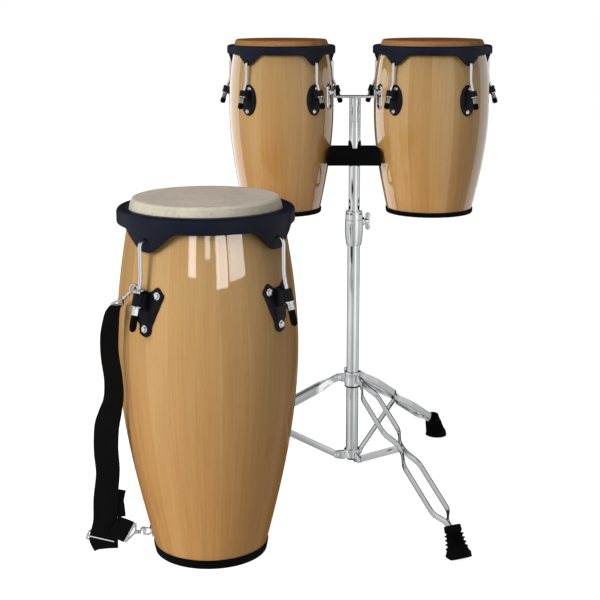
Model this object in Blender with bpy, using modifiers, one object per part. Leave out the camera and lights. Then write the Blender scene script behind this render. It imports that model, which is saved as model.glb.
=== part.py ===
"""A set of conga drums: one large free-standing conga with a shoulder strap, and two mini congas
that hang on the T-bar of a folding tripod stand. Metres, +Z up, floor at z = 0."""

import math
from dataclasses import dataclass

import bmesh
import bpy
from mathutils import Matrix, Vector

# ---------------------------------------------------------------- driving dimensions (metres)
# Layout on the floor. The origin is the middle of the whole set's footprint.
POLE = Vector((0.1164, 0.0608, 0.0))
CONGA_FROM_POLE = Vector((-0.312, -0.3445, 0.0))
LEFT_FROM_POLE = Vector((-0.165, 0.050, 0.0))
RIGHT_FROM_POLE = Vector((0.175, 0.050, 0.0))

GAP = 0.0003  # between two solids that touch on the real object
FIT = 0.0006  # between a ring and the wooden shell inside it
SEGMENTS = 24  # sides of a drum
TUBE_SEGMENTS = 16
CUTTER_SEGMENTS = 48
BAR_SIDES = 8

# Stand
UPPER_TUBE_R = 0.0127
LOWER_TUBE_R = 0.0143
TUBE_WALL = 0.0011
LOWER_TUBE_Z = (0.075, 0.618)
UPPER_TUBE_Z = (0.400, 0.9215)
HUB_Z = (0.076, 0.097)
HUB_R = 0.0185
CLAMP_Z = (0.588, 0.667)
CLAMP_R = 0.0205
CLAMP_SCREW_Z = 0.6435
CLAMP_BOSS_R = 0.0090
CLAMP_BOSS_END = 0.0240
COLLAR_Z = (0.251, 0.288)
COLLAR_R = 0.0185
COLLAR_SCREW_AZIMUTH = math.radians(118)
COLLAR_BOSS_R = 0.0080
COLLAR_BOSS_END = 0.0255
T_BAR_Z = 0.925
T_BAR_THICK = 0.005
T_BAR_DEPTH = 0.022
TAB_THICK = 0.003
TAB_TOP = 0.9445
MOUNT_BOLT_Z = 0.9342
MOUNT_BOLT_R = 0.003
BRACKET_WIDE = 0.022
BRACKET_SPAN = (-0.038, 0.019)  # from the mount bolt
BOSS_R = 0.0065
BOSS_LENGTH = 0.0085
KNOB_R = 0.0065
KNOB_LENGTH = 0.009
REST_Z = (0.772, 0.810)
REST_X = (-0.0585, 0.0535)  # from the pole
REST_Y = (-0.021, 0.055)
REST_CONE_R = (0.0152, 0.0142)
REST_CONE_TOP = 0.827
WING_SPAN = 0.040
SCREW_R = 0.003

# Tripod linkage, in the vertical plane of one leg: distance from the pole's axis, and height
LEG_AZIMUTHS = [math.radians(a) for a in (-62.3, 57.7, 177.7)]
PIVOT_OUT = 0.035
COLLAR_PIVOT_Z = 0.272
HUB_PIVOT_Z = 0.081
LEG_SLOPE = math.radians(30)  # below the horizontal
LEG_TO_BRACE = 0.211
LEG_LENGTH = 0.462
STRIP_WIDE = 0.016
STRIP_THICK = 0.0025
STRIP_BOW = 0.020
STRIPS_MEET = 0.424  # along the leg
PINCH = 0.00325
PIN_R = 0.003
HOLE_R = 0.0034
BRACE_THICK = 0.003
FOOT_TOP = (0.388, 0.060)  # out from the leg's pivot, and up from the floor
FOOT_LOW = (0.418, -0.004)
FOOT_R = (0.0180, 0.0270)

# Shoulder strap
WEBBING_WIDE = 0.050
WEBBING_THICK = 0.0032


@dataclass(frozen=True)
class Drum:
    """One drum. Heights are from its own bottom, radii from its own axis."""

    name: str
    place: Vector
    floor: float  # height of the drum's bottom over the floor
    turn: float  # the way its front faces, from -Y towards +X
    base_r: float
    belly_r: float
    top_r: float
    belly_z: float
    top_z: float  # top of the wooden shell
    shoulder: float  # how long the shell stays full above the belly
    shell_foot: float
    wall: float
    skin: float
    rim_r: float
    rim_z: tuple
    hoop: tuple  # height of the flesh hoop's bottom, its height and its width
    ring_z: float
    ring_inner: float
    lug_azimuths: tuple
    ear_half: tuple  # half the ear's angle at its top and at its tip
    ear_tip: float
    eye_z: float  # the hole in an ear
    rod_r: float
    plate: tuple  # lug plate's lowest and highest point
    rod: tuple  # offsets and heights of the tuning rod: straight, knee, sleeve top, end
    sleeve: tuple  # heights of the sleeve's top and bottom
    nut: tuple


def deg(*angles):
    return tuple(math.radians(a) for a in angles)


def mini(name, place, turn, size):
    """A mini conga; size scales its radii, because its height and its fittings stay the same."""
    return Drum(
        name=name,
        place=place,
        floor=0.6585,
        turn=math.radians(turn),
        base_r=0.0960 * size,
        belly_r=0.1300 * size,
        top_r=0.1110 * size,
        belly_z=0.240,
        top_z=0.3885,
        shoulder=2.6,
        shell_foot=0.0025,
        wall=0.0075,
        skin=0.0018,
        rim_r=0.1340 * size,
        rim_z=(0.3595, 0.3785),
        hoop=(0.3635, 0.0060, 0.0050),
        ring_z=0.011,
        ring_inner=0.0850 * size,
        lug_azimuths=deg(37.5, 113, 180, -113, -37.5),
        ear_half=deg(12.5, 3.0),
        ear_tip=0.3365,
        eye_z=0.3440,
        rod_r=0.0030,
        plate=(0.2277, 0.2957),
        rod=((0.0050, 0.3020), (0.0190, 0.2810), (0.0300, 0.2460)),
        sleeve=(0.2830, 0.2700),
        nut=(0.2685, 0.2560),
    )


CONGA = Drum(
    name="conga",
    place=CONGA_FROM_POLE,
    floor=0.0,
    turn=math.radians(4.2),
    base_r=0.1150,
    belly_r=0.1858,
    top_r=0.1470,
    belly_z=0.450,
    top_z=0.7510,
    shoulder=1.75,
    shell_foot=0.0035,
    wall=0.0100,
    skin=0.0022,
    rim_r=0.1790,
    rim_z=(0.7040, 0.7355),
    hoop=(0.7085, 0.0080, 0.0070),
    ring_z=0.020,
    ring_inner=0.1030,
    lug_azimuths=deg(-41, 50, 140, -130),
    ear_half=deg(19.5, 5.2),
    ear_tip=0.6655,
    eye_z=0.6885,
    rod_r=0.0040,
    plate=(0.5000, 0.6000),
    rod=((0.0150, 0.6180), (0.0250, 0.5890), (0.0376, 0.5190)),
    sleeve=(0.5890, 0.5650),
    nut=(0.5637, 0.5480),
)
LEFT = mini("left", LEFT_FROM_POLE, 0.8, 0.909)
RIGHT = mini("right", RIGHT_FROM_POLE, -5.6, 1.0)
MINIS = (LEFT, RIGHT)

# Finishes: colour, roughness, metallic
WOOD = ((0.60, 0.38, 0.19), 0.25, 0.0)
PALE_WOOD = ((0.66, 0.43, 0.22), 0.25, 0.0)
SKIN = ((0.72, 0.66, 0.52), 0.7, 0.0)
BROWN_SKIN = ((0.30, 0.13, 0.06), 0.65, 0.0)
BLACK_PAINT = ((0.015, 0.017, 0.026), 0.4, 0.3)
CHROME = ((0.80, 0.81, 0.83), 0.12, 1.0)
RUBBER = ((0.012, 0.012, 0.012), 0.8, 0.0)
WEBBING = ((0.010, 0.010, 0.011), 0.9, 0.0)


# ---------------------------------------------------------------- scene and modelling helpers
def clear_scene():
    for item in list(bpy.data.objects):
        bpy.data.objects.remove(item, do_unlink=True)


def collection(name):
    made = bpy.data.collections.new(name)
    bpy.context.scene.collection.children.link(made)
    return made


def add_object(name, mesh):
    item = bpy.data.objects.new(name, mesh)
    PARTS.objects.link(item)
    return item


def settle(item):
    """Turns an object's modifiers into its mesh."""
    bpy.context.view_layer.update()
    graph = bpy.context.evaluated_depsgraph_get()
    mesh = bpy.data.meshes.new_from_object(item.evaluated_get(graph))
    item.modifiers.clear()
    item.data = mesh
    return item


def turned(name, profile, steps=SEGMENTS, closed=True):
    """A profile of (radius, height) points, running down its outer side, turned about Z."""
    mesh = bpy.data.meshes.new(name)
    edges = [(i, i + 1) for i in range(len(profile) - 1)]
    if closed:
        edges.append((len(profile) - 1, 0))
    mesh.from_pydata([(r, 0.0, z) for r, z in profile], edges, [])
    item = add_object(name, mesh)
    screw = item.modifiers.new("turn", "SCREW")
    screw.steps = steps
    screw.render_steps = steps
    screw.use_merge_vertices = True
    screw.merge_threshold = 0.00001
    return settle(item)


def box(name, low, high, matrix=None):
    """A box between two corners, in the frame of matrix."""
    mesh = bpy.data.meshes.new(name)
    shape = bmesh.new()
    bmesh.ops.create_cube(shape, size=1.0)
    low = Vector(low)
    high = Vector(high)
    for vertex in shape.verts:
        vertex.co = Vector((a * b for a, b in zip(vertex.co, high - low))) + (low + high) / 2
    shape.to_mesh(mesh)
    shape.free()
    item = add_object(name, mesh)
    item.matrix_world = matrix or Matrix()
    return item


def bar(name, radius, start, end, sides=BAR_SIDES, end_radius=None):
    """A round bar, or a cone, between two points."""
    start = Vector(start)
    end = Vector(end)
    mesh = bpy.data.meshes.new(name)
    shape = bmesh.new()
    bmesh.ops.create_cone(
        shape,
        cap_ends=True,
        segments=sides,
        radius1=radius,
        radius2=radius if end_radius is None else end_radius,
        depth=(end - start).length,
    )
    shape.to_mesh(mesh)
    shape.free()
    item = add_object(name, mesh)
    aim = (end - start).to_track_quat("Z", "X").to_matrix().to_4x4()
    item.matrix_world = Matrix.Translation((start + end) / 2) @ aim
    return item


def mesh_of_curve(name, curve, matrix):
    """A curve's mesh, with its caps welded to its sides."""
    guide = bpy.data.objects.new(name, curve)
    PARTS.objects.link(guide)
    guide.matrix_world = matrix
    bpy.context.view_layer.update()
    graph = bpy.context.evaluated_depsgraph_get()
    mesh = bpy.data.meshes.new_from_object(guide.evaluated_get(graph))
    shape = bmesh.new()
    shape.from_mesh(mesh)
    bmesh.ops.remove_doubles(shape, verts=shape.verts, dist=0.00001)
    bmesh.ops.recalc_face_normals(shape, faces=shape.faces)
    shape.to_mesh(mesh)
    shape.free()
    bpy.data.objects.remove(guide, do_unlink=True)
    item = add_object(name, mesh)
    item.matrix_world = matrix
    return item


def plate(name, outline, thickness, matrix):
    """A flat outline in the XY plane of matrix, thickened evenly to both sides."""
    curve = bpy.data.curves.new(name, "CURVE")
    curve.dimensions = "2D"
    curve.fill_mode = "BOTH"
    curve.extrude = thickness / 2
    spline = curve.splines.new("POLY")
    spline.points.add(len(outline) - 1)
    for point, (x, y) in zip(spline.points, outline):
        point.co = (x, y, 0.0, 1.0)
    spline.use_cyclic_u = True
    return mesh_of_curve(name, curve, matrix)


def wire(name, points, radius):
    """A round wire through points, with flat ends."""
    curve = bpy.data.curves.new(name, "CURVE")
    curve.dimensions = "3D"
    curve.bevel_depth = radius
    curve.bevel_resolution = 1
    curve.use_fill_caps = True
    spline = curve.splines.new("POLY")
    spline.points.add(len(points) - 1)
    for point, place in zip(spline.points, points):
        point.co = (*place, 1.0)
    return mesh_of_curve(name, curve, Matrix())


def combine(item, tools, operation):
    """Joins the tools to an object, or cuts them out of it, and takes them away."""
    for tool in tools:
        tool.hide_render = True
        tool.display_type = "WIRE"
        CUTTERS.objects.link(tool)
        PARTS.objects.unlink(tool)
        step = item.modifiers.new(tool.name, "BOOLEAN")
        step.operation = operation
        step.solver = "EXACT"
        step.object = tool
    settle(item)
    for tool in tools:
        bpy.data.objects.remove(tool, do_unlink=True)
    return item


def join(item, *tools):
    return combine(item, tools, "UNION")


def cut(item, *tools):
    return combine(item, tools, "DIFFERENCE")


def move_origin(item, matrix):
    """Puts the object's own frame at matrix and leaves its shape where it is."""
    bpy.context.view_layer.update()
    item.data.transform(matrix.inverted() @ item.matrix_world)
    item.matrix_world = matrix
    return item


def set_frame(item, matrix):
    """Puts an object that was drawn at the origin into its frame."""
    item.matrix_world = matrix
    return item


def copy_of(item, name, matrix):
    """Another object with the same mesh."""
    made = add_object(name, item.data)
    made.matrix_world = matrix
    return made


def finish(item, look):
    """Gives the object its own material and smooth shading on its round faces."""
    colour, roughness, metallic = look
    material = bpy.data.materials.new(item.name)
    material.use_nodes = True
    shader = material.node_tree.nodes["Principled BSDF"]
    shader.inputs["Base Color"].default_value = (*colour, 1.0)
    shader.inputs["Roughness"].default_value = roughness
    shader.inputs["Metallic"].default_value = metallic
    item.data.materials.clear()
    item.data.materials.append(material)
    item.data.shade_smooth()
    item.data.set_sharp_from_angle(angle=math.radians(35))
    return item


def about(origin, azimuth=0.0, tilt=0.0):
    """A frame at origin: +X turned by azimuth from the world's +X, then tilted down by tilt."""
    turn = Matrix.Rotation(azimuth, 4, "Z")
    lean = Matrix.Rotation(tilt, 4, "Y")
    return Matrix.Translation(origin) @ turn @ lean


# Turns an outline's own X across and its Y up, so that it faces outwards along +X.
STAND_UP = Matrix(((0, 0, 1, 0), (1, 0, 0, 0), (0, 1, 0, 0), (0, 0, 0, 1)))


def outward(angle):
    """The +X direction's azimuth for a place at this angle from the drum's front."""
    return angle - math.pi / 2


# ---------------------------------------------------------------- drums
def shell_r(drum, z):
    """Outer radius of the shell: a quarter sine up to the belly, a power curve above it."""
    if z <= drum.belly_z:
        part = (z - drum.shell_foot) / (drum.belly_z - drum.shell_foot)
        return drum.base_r + (drum.belly_r - drum.base_r) * math.sin(math.pi / 2 * max(part, 0))
    part = (z - drum.belly_z) / (drum.top_z - drum.belly_z)
    return drum.belly_r - (drum.belly_r - drum.top_r) * min(part, 1) ** drum.shoulder


def heights(low, high, count):
    return [high + (low - high) * i / count for i in range(count + 1)]


def drum_frame(drum):
    return about(drum.place + Vector((0, 0, drum.floor)), drum.turn)


def shell_cutter(drum):
    """The space of the shell and what is inside it, with a little clearance all round."""
    grow = 1 / math.cos(math.pi / CUTTER_SEGMENTS)
    levels = heights(drum.shell_foot, drum.top_z, 9)
    sides = [((shell_r(drum, z) + GAP) * grow, z) for z in levels]
    profile = [(0, drum.top_z), *sides, (0, drum.shell_foot)]
    cutter = turned("space", profile, CUTTER_SEGMENTS, closed=False)
    cutter.matrix_world = drum_frame(drum)
    return cutter


def make_shell(drum):
    levels = heights(drum.shell_foot, drum.top_z, 9)
    outer = [(shell_r(drum, z), z) for z in levels]
    inner = [(shell_r(drum, z) - drum.wall, z) for z in reversed(heights(drum.shell_foot, drum.top_z, 5))]
    item = turned(f"{drum.name}_shell", outer + inner)
    item.matrix_world = drum_frame(drum)
    return item


def hoop_outer_r(drum):
    bottom, _, wide = drum.hoop
    return shell_r(drum, bottom) + FIT + wide


def make_head(drum):
    """Skin stretched over the shell's edge, with the flesh hoop at its lower edge."""
    bottom, tall, _ = drum.hoop
    hoop_top = bottom + tall
    middle = (hoop_top + drum.top_z) / 2
    over = drum.top_z + 0.0004
    edge = drum.top_r + FIT

    def inner(z):
        return shell_r(drum, z) + FIT

    profile = [
        (0, over + drum.skin),
        (edge - 0.003, over + drum.skin),
        (edge + drum.skin * 0.8, over + drum.skin * 0.3),
        (inner(middle) + drum.skin, middle),
        (inner(hoop_top) + drum.skin, hoop_top),
        (hoop_outer_r(drum), hoop_top - 0.001),
        (hoop_outer_r(drum), bottom + 0.001),
        (hoop_outer_r(drum) - 0.001, bottom),
        (inner(bottom), bottom),
        (inner(middle), middle),
        (edge, over),
        (0, over),
    ]
    item = turned(f"{drum.name}_head", profile, closed=False)
    item.matrix_world = drum_frame(drum)
    return item


def ear_gap(drum, azimuth):
    """What is cut away between two ears of the rim, as a block that points outwards."""
    half_step = math.pi / len(drum.lug_azimuths)
    top, tip = (drum.rim_r * math.sin(half_step - half) for half in drum.ear_half)
    low = drum.ear_tip - 0.004
    high = drum.rim_z[0] + 0.0005
    bottom_half = tip + (tip - top) * (drum.ear_tip - low) / (high - drum.ear_tip)
    outline = [(-top, high), (top, high), (bottom_half, low), (-bottom_half, low)]
    reach = drum.rim_r * 0.7
    matrix = drum_frame(drum) @ about((0, 0, 0), outward(azimuth)) @ Matrix.Translation((drum.rim_r, 0, 0))
    return plate("gap", outline, reach, matrix @ STAND_UP)


def make_rim(drum):
    """The tension rim: a rounded band that presses on the flesh hoop, with an ear over each lug."""
    low, high = drum.rim_z
    hoop_top = drum.hoop[0] + drum.hoop[1]
    lip = shell_r(drum, hoop_top) + FIT + drum.skin + 0.0008
    collar = hoop_outer_r(drum) + 0.0007
    outer = drum.rim_r
    ear_outer = outer - 0.0015
    ear_inner = outer - 0.0045
    round_off = 0.2 * (high - low)
    profile = [
        (lip, high - 0.004),
        (lip + 0.002, high),
        (outer - round_off * 0.7, high),
        (outer, high - round_off),
        (outer, low + round_off * 0.6),
        (ear_outer, low + 0.001),
        (ear_outer, drum.ear_tip),
        (ear_inner, drum.ear_tip),
        (ear_inner, low + 0.001),
        (collar, low + 0.001),
        (collar, hoop_top + 0.0004),
        (lip, hoop_top + 0.0004),
    ]
    item = turned(f"{drum.name}_rim", profile)
    item.matrix_world = drum_frame(drum)
    half_step = math.pi / len(drum.lug_azimuths)
    gaps = [ear_gap(drum, azimuth + half_step) for azimuth in drum.lug_azimuths]
    eyes = []
    for azimuth in drum.lug_azimuths:
        frame = drum_frame(drum) @ about((0, 0, drum.eye_z), outward(azimuth))
        ends = [frame @ Vector((outer + side, 0, 0)) for side in (-0.012, 0.012)]
        eyes.append(bar("eye", drum.rod_r + 0.0013, *ends))
    return cut(item, *gaps, *eyes)


def make_base_ring(drum):
    """Rubber ring that covers the shell's lower edge and stands on the floor."""
    foot = drum.shell_foot - GAP
    top_r = shell_r(drum, drum.ring_z) + FIT
    inside_r = shell_r(drum, drum.shell_foot) + FIT
    profile = [
        (top_r, drum.ring_z),
        (top_r + 0.0018, drum.ring_z - 0.001),
        (inside_r + 0.0030, 0.0020),
        (inside_r + 0.0015, 0.0),
        (drum.ring_inner, 0.0),
        (drum.ring_inner, foot),
        (inside_r, foot),
    ]
    item = turned(f"{drum.name}_base_ring", profile)
    item.matrix_world = drum_frame(drum)
    return item


def rod_points(drum):
    """The tuning rod in its own plane: through the ear, down, out at the knee, through the sleeve."""
    (straight_out, knee_z), (top_out, top_z), (end_out, end_z) = drum.rod
    straight = drum.rim_r + straight_out
    bend = min(drum.rod_r * 2, straight_out + 0.002)
    hook_z = drum.eye_z - 0.0009
    inside = drum.rim_r - 0.0045 - drum.rod_r * 1.6
    points = [(inside, hook_z)]
    for angle in deg(90, 60, 30, 0):
        across = straight - bend + bend * math.cos(angle)
        points.append((across, hook_z - bend + bend * math.sin(angle)))
    top = (shell_r(drum, top_z) + top_out, top_z)
    end = (shell_r(drum, end_z) + end_out, end_z)
    return [*points, (straight, knee_z), top, end]


def rod_at(drum, z):
    """The point of the rod's straight lower run at this height, and the run's direction."""
    top, end = (Vector((r, 0, height)) for r, height in rod_points(drum)[-2:])
    down = (end - top).normalized()
    return top + down * ((z - top.z) / down.z), down


def make_rod(drum, name):
    return wire(name, [(r, 0, z) for r, z in rod_points(drum)], drum.rod_r)


def oval(drum):
    """Lug plate of a mini conga: an oval, as (across, height) points."""
    low, high = drum.plate
    half = 0.020
    turns = [math.tau * i / 12 for i in range(12)]
    middle = (low + high) / 2
    return [(half * math.sin(a), middle + (high - low) / 2 * math.cos(a)) for a in turns]


def fork(drum):
    """Lug plate of the large conga: two lobes at the top with a dip between them, and a round foot."""
    low, high = drum.plate
    foot_r = 0.016
    half = 0.041
    lobe = [(0.024, high), (0.032, high - 0.003), (half, high - 0.017), (0.034, high - 0.027)]
    right = [(0.012, high - 0.008), *lobe]
    foot = [(foot_r * math.cos(a), low + foot_r + foot_r * math.sin(a)) for a in deg(10, -20, -50, -80)]
    side = right + foot
    return side + [(-x, z) for x, z in reversed(side)]


def make_lug_body(drum, name, outline):
    """A lug plate bent to the shell, with the sleeve that the rod runs through, at azimuth 0."""
    top, down = rod_at(drum, drum.sleeve[0])
    bottom, _ = rod_at(drum, drum.sleeve[1])
    middle_z = sum(drum.plate) / 2
    front = shell_r(drum, middle_z) + 0.0035
    thick = 0.016  # before the shell's space is cut away from its back
    low, high = drum.plate
    lean = math.atan2(shell_r(drum, low) - shell_r(drum, high), high - low)
    pivot = Matrix.Translation((front, 0, middle_z))
    tilted = pivot @ Matrix.Rotation(-lean, 4, "Y") @ Matrix.Translation((-thick / 2, 0, -middle_z))
    body = plate(name, outline, thick, tilted @ STAND_UP)
    sleeve_r = drum.rod_r + 0.0050
    sleeve = bar("sleeve", sleeve_r, top, bottom, sides=12)
    inner = front - 0.002
    web = box("web", (inner, -sleeve_r * 0.75, bottom.z + 0.001), (bottom.x, sleeve_r * 0.75, top.z - 0.002))
    cutter = shell_cutter(drum)
    cutter.matrix_world = Matrix()
    join(body, web, sleeve)
    cut(body, cutter)
    return move_origin(body, Matrix())


def nut_bar(drum, name):
    """Six-sided tension nut on the rod's straight lower run."""
    start, _ = rod_at(drum, drum.nut[0])
    end, _ = rod_at(drum, drum.nut[1])
    return bar(name, drum.rod_r * 1.9, start, end, sides=6)


def rod_channel(drum):
    """The bore of sleeve and nut, along the rod's straight lower run."""
    start, down = rod_at(drum, drum.sleeve[0])
    end, _ = rod_at(drum, drum.nut[1])
    return bar("bore", drum.rod_r + 0.0004, start - down * 0.01, end + down * 0.01)


def lug_frame(drum, azimuth):
    return drum_frame(drum) @ about((0, 0, 0), outward(azimuth))


def make_mini_lugs(drum):
    """Plate, sleeve, rod and nut of a mini conga's lug, drawn tight into one piece."""
    lug = make_lug_body(drum, f"{drum.name}_lug_1", oval(drum))
    join(lug, nut_bar(drum, "nut"), make_rod(drum, "rod"))
    made = [lug]
    for number, azimuth in enumerate(drum.lug_azimuths[1:], 2):
        made.append(copy_of(lug, f"{drum.name}_lug_{number}", lug_frame(drum, azimuth)))
    lug.matrix_world = lug_frame(drum, drum.lug_azimuths[0])
    return made


def make_conga_lugs(drum):
    """Lug plates, tuning rods and tension nuts of the large conga, each nut free to turn."""
    body = cut(make_lug_body(drum, "conga_lug_plate_1", fork(drum)), rod_channel(drum))
    rod = make_rod(drum, "conga_tuning_rod_1")
    nut = cut(nut_bar(drum, "conga_tension_nut_1"), rod_channel(drum))
    start, down = rod_at(drum, drum.nut[0])
    nut_frame = Matrix.Translation(start) @ down.to_track_quat("Z", "Y").to_matrix().to_4x4()
    move_origin(nut, nut_frame)
    made = {"plate": [body], "rod": [rod], "nut": [nut]}
    for number, azimuth in enumerate(drum.lug_azimuths[1:], 2):
        frame = lug_frame(drum, azimuth)
        made["plate"].append(copy_of(body, f"conga_lug_plate_{number}", frame))
        made["rod"].append(copy_of(rod, f"conga_tuning_rod_{number}", frame))
        made["nut"].append(copy_of(nut, f"conga_tension_nut_{number}", frame @ nut_frame))
    first = lug_frame(drum, drum.lug_azimuths[0])
    body.matrix_world = first
    rod.matrix_world = first
    nut.matrix_world = first @ nut_frame
    return made


def mount_side(drum):
    """+1 for a drum on the pole's left, whose bracket faces +X, and -1 for one on its right."""
    return 1 if drum.place.x < 0 else -1


def mount_point(drum):
    """Where the mount bolt's line, along X in the pole's own plane, meets the shell."""
    radius = shell_r(drum, MOUNT_BOLT_Z - drum.floor)
    across = math.sqrt(radius**2 - drum.place.y**2)
    return Vector((drum.place.x + mount_side(drum) * across, 0, MOUNT_BOLT_Z))


def tab_face(drum):
    """The side of the T-bar's tab that faces the drum."""
    return mount_point(drum).x + mount_side(drum) * (BOSS_LENGTH + 0.0025)


def make_bracket(drum):
    """Chrome plate on the shell with a boss that the mount bolt screws into."""
    side = mount_side(drum)
    point = mount_point(drum)
    azimuth = math.atan2(point.y - drum.place.y, point.x - drum.place.x)
    radius = shell_r(drum, MOUNT_BOLT_Z - drum.floor)
    frame = about(Vector((drum.place.x, drum.place.y, MOUNT_BOLT_Z)), azimuth)
    half = BRACKET_WIDE / 2
    corners = (radius - 0.006, -half, BRACKET_SPAN[0]), (radius + 0.0032, half, BRACKET_SPAN[1])
    item = box(f"{drum.name}_mount_bracket", *corners, frame)
    face = Vector((tab_face(drum) - side * GAP, 0, MOUNT_BOLT_Z))
    root = point - Vector((side * 0.003, 0, 0))
    boss = bar("boss", BOSS_R, root, face)
    bore_end = point + Vector((side * 0.004, 0, 0))
    bore = bar("bore", MOUNT_BOLT_R + 0.0004, bore_end, face + Vector((side * 0.01, 0, 0)))
    join(item, boss)
    cut(item, shell_cutter(drum), bore)
    return move_origin(item, drum_frame(drum))


def make_knob(drum):
    """The hand knob on the pole's side of the tab, with the bolt that runs through it."""
    side = mount_side(drum)
    face = tab_face(drum) + side * (TAB_THICK + GAP)
    knob = bar(
        f"{drum.name}_mount_knob",
        KNOB_R,
        (face, 0, MOUNT_BOLT_Z),
        (face + side * KNOB_LENGTH, 0, MOUNT_BOLT_Z),
        sides=BAR_SIDES,
        end_radius=KNOB_R * 0.8,
    )
    tip = mount_point(drum).x + side * (0.004 + GAP)
    bolt = bar("bolt", MOUNT_BOLT_R, (tip, 0, MOUNT_BOLT_Z), (face + side * 0.003, 0, MOUNT_BOLT_Z))
    join(knob, bolt)
    return move_origin(knob, Matrix.Translation((face, 0, MOUNT_BOLT_Z)))


# ---------------------------------------------------------------- stand
def tube(name, radius, low, high, wall=TUBE_WALL):
    profile = [(radius, high), (radius, low), (radius - wall, low), (radius - wall, high)]
    return turned(name, profile, TUBE_SEGMENTS)


def pivot_lug(azimuth, pivot_z, inner, outer, half_tall=0.010):
    """One upright plate that holds a pivot pin; inner and outer are its two sides."""
    frame = about((0, 0, pivot_z), azimuth)
    root = LOWER_TUBE_R + 0.0012
    return box("lug", (root, inner, -half_tall), (PIVOT_OUT + 0.008, outer, half_tall), frame)


def pivot_pin(azimuth, pivot_z, half):
    frame = about((0, 0, pivot_z), azimuth)
    ends = [frame @ Vector((PIVOT_OUT, side * half, 0)) for side in (-1, 1)]
    return bar("pin", PIN_R, *ends)


def make_lower_tube():
    """Lower tube with the hub that holds the braces, welded into one piece."""
    item = tube("lower_tube", LOWER_TUBE_R, *LOWER_TUBE_Z)
    low, high = HUB_Z
    inside = LOWER_TUBE_R - TUBE_WALL / 2
    profile = [(HUB_R - 0.001, high), (HUB_R, high - 0.001), (HUB_R, low + 0.001), (HUB_R - 0.001, low)]
    hub = turned("hub", [*profile, (inside, low), (inside, high)], TUBE_SEGMENTS)
    near = BRACE_THICK / 2 + 0.00035
    far = near + STRIP_THICK
    tools = [hub]
    for azimuth in LEG_AZIMUTHS:
        tools.append(pivot_lug(azimuth, HUB_PIVOT_Z, near, far))
        tools.append(pivot_lug(azimuth, HUB_PIVOT_Z, -far, -near))
        tools.append(pivot_pin(azimuth, HUB_PIVOT_Z, far + 0.0008))
    return join(item, *tools)


def make_collar():
    """Sliding collar that the legs hang from, with a boss for its wing bolt."""
    low, high = COLLAR_Z
    inside = LOWER_TUBE_R + 0.0007
    outer = [(COLLAR_R - 0.001, high), (COLLAR_R, high - 0.001), (COLLAR_R, low)]
    item = turned("tripod_collar", [*outer, (inside, low), (inside, high)], TUBE_SEGMENTS)
    tools = []
    half_lug = PINCH - STRIP_THICK / 2 - GAP
    for azimuth in LEG_AZIMUTHS:
        tools.append(pivot_lug(azimuth, COLLAR_PIVOT_Z, -half_lug, half_lug))
        tools.append(pivot_pin(azimuth, COLLAR_PIVOT_Z, PINCH + STRIP_THICK))
    middle = sum(COLLAR_Z) / 2
    frame = about((0, 0, middle), COLLAR_SCREW_AZIMUTH)
    boss_ends = [frame @ Vector((x, 0, 0)) for x in (LOWER_TUBE_R + 0.002, COLLAR_BOSS_END)]
    tools.append(bar("boss", COLLAR_BOSS_R, *boss_ends))
    join(item, *tools)
    bore_ends = [frame @ Vector((x, 0, 0)) for x in (LOWER_TUBE_R - 0.002, 0.035)]
    return cut(item, bar("bore", SCREW_R + 0.0004, *bore_ends))


def make_wing_bolt(name, frame, tip, boss_end):
    """A wing bolt along +X of frame, from its tip to its two wings."""
    head_start = boss_end + GAP * 2
    item = bar(name, SCREW_R, (tip, 0, 0), (head_start + 0.002, 0, 0))
    head = bar("head", 0.0062, (head_start, 0, 0), (head_start + 0.010, 0, 0), end_radius=0.0052)
    half = WING_SPAN / 2
    outline = [
        (head_start + 0.002, 0.003),
        (head_start + 0.006, half),
        (head_start + 0.013, half),
        (head_start + 0.009, 0.004),
        (head_start + 0.009, -0.004),
        (head_start + 0.013, -half),
        (head_start + 0.006, -half),
        (head_start + 0.002, -0.003),
    ]
    upright = Matrix.Rotation(math.pi / 2, 4, "X")
    wings = plate("wings", outline, 0.0035, upright)
    join(item, head, wings)
    move_origin(item, Matrix())
    item.matrix_world = frame
    return item


def make_clamp():
    """Height clamp on the lower tube's top: a bulged sleeve with a boss for its wing bolt."""
    low, high = CLAMP_Z
    tube_top = LOWER_TUBE_Z[1]
    around_lower = LOWER_TUBE_R + GAP
    around_upper = UPPER_TUBE_R + 0.0005
    outer = [
        (CLAMP_R * 0.86, high),
        (CLAMP_R * 0.95, high - 0.020),
        (CLAMP_R, high - 0.040),
        (CLAMP_R * 0.93, low + 0.022),
        (CLAMP_R * 0.76, low),
    ]
    step = tube_top + GAP
    inner = [(around_lower, low), (around_lower, step), (around_upper, step), (around_upper, high)]
    item = turned("height_clamp", outer + inner, TUBE_SEGMENTS)
    boss_ends = [(x, 0, CLAMP_SCREW_Z) for x in (UPPER_TUBE_R + 0.003, CLAMP_BOSS_END)]
    bore_ends = [(x, 0, CLAMP_SCREW_Z) for x in (UPPER_TUBE_R - 0.001, 0.040)]
    boss = bar("boss", CLAMP_BOSS_R, *boss_ends, sides=12)
    bore = bar("bore", SCREW_R + 0.0004, *bore_ends)
    join(item, boss)
    return cut(item, bore)


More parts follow.
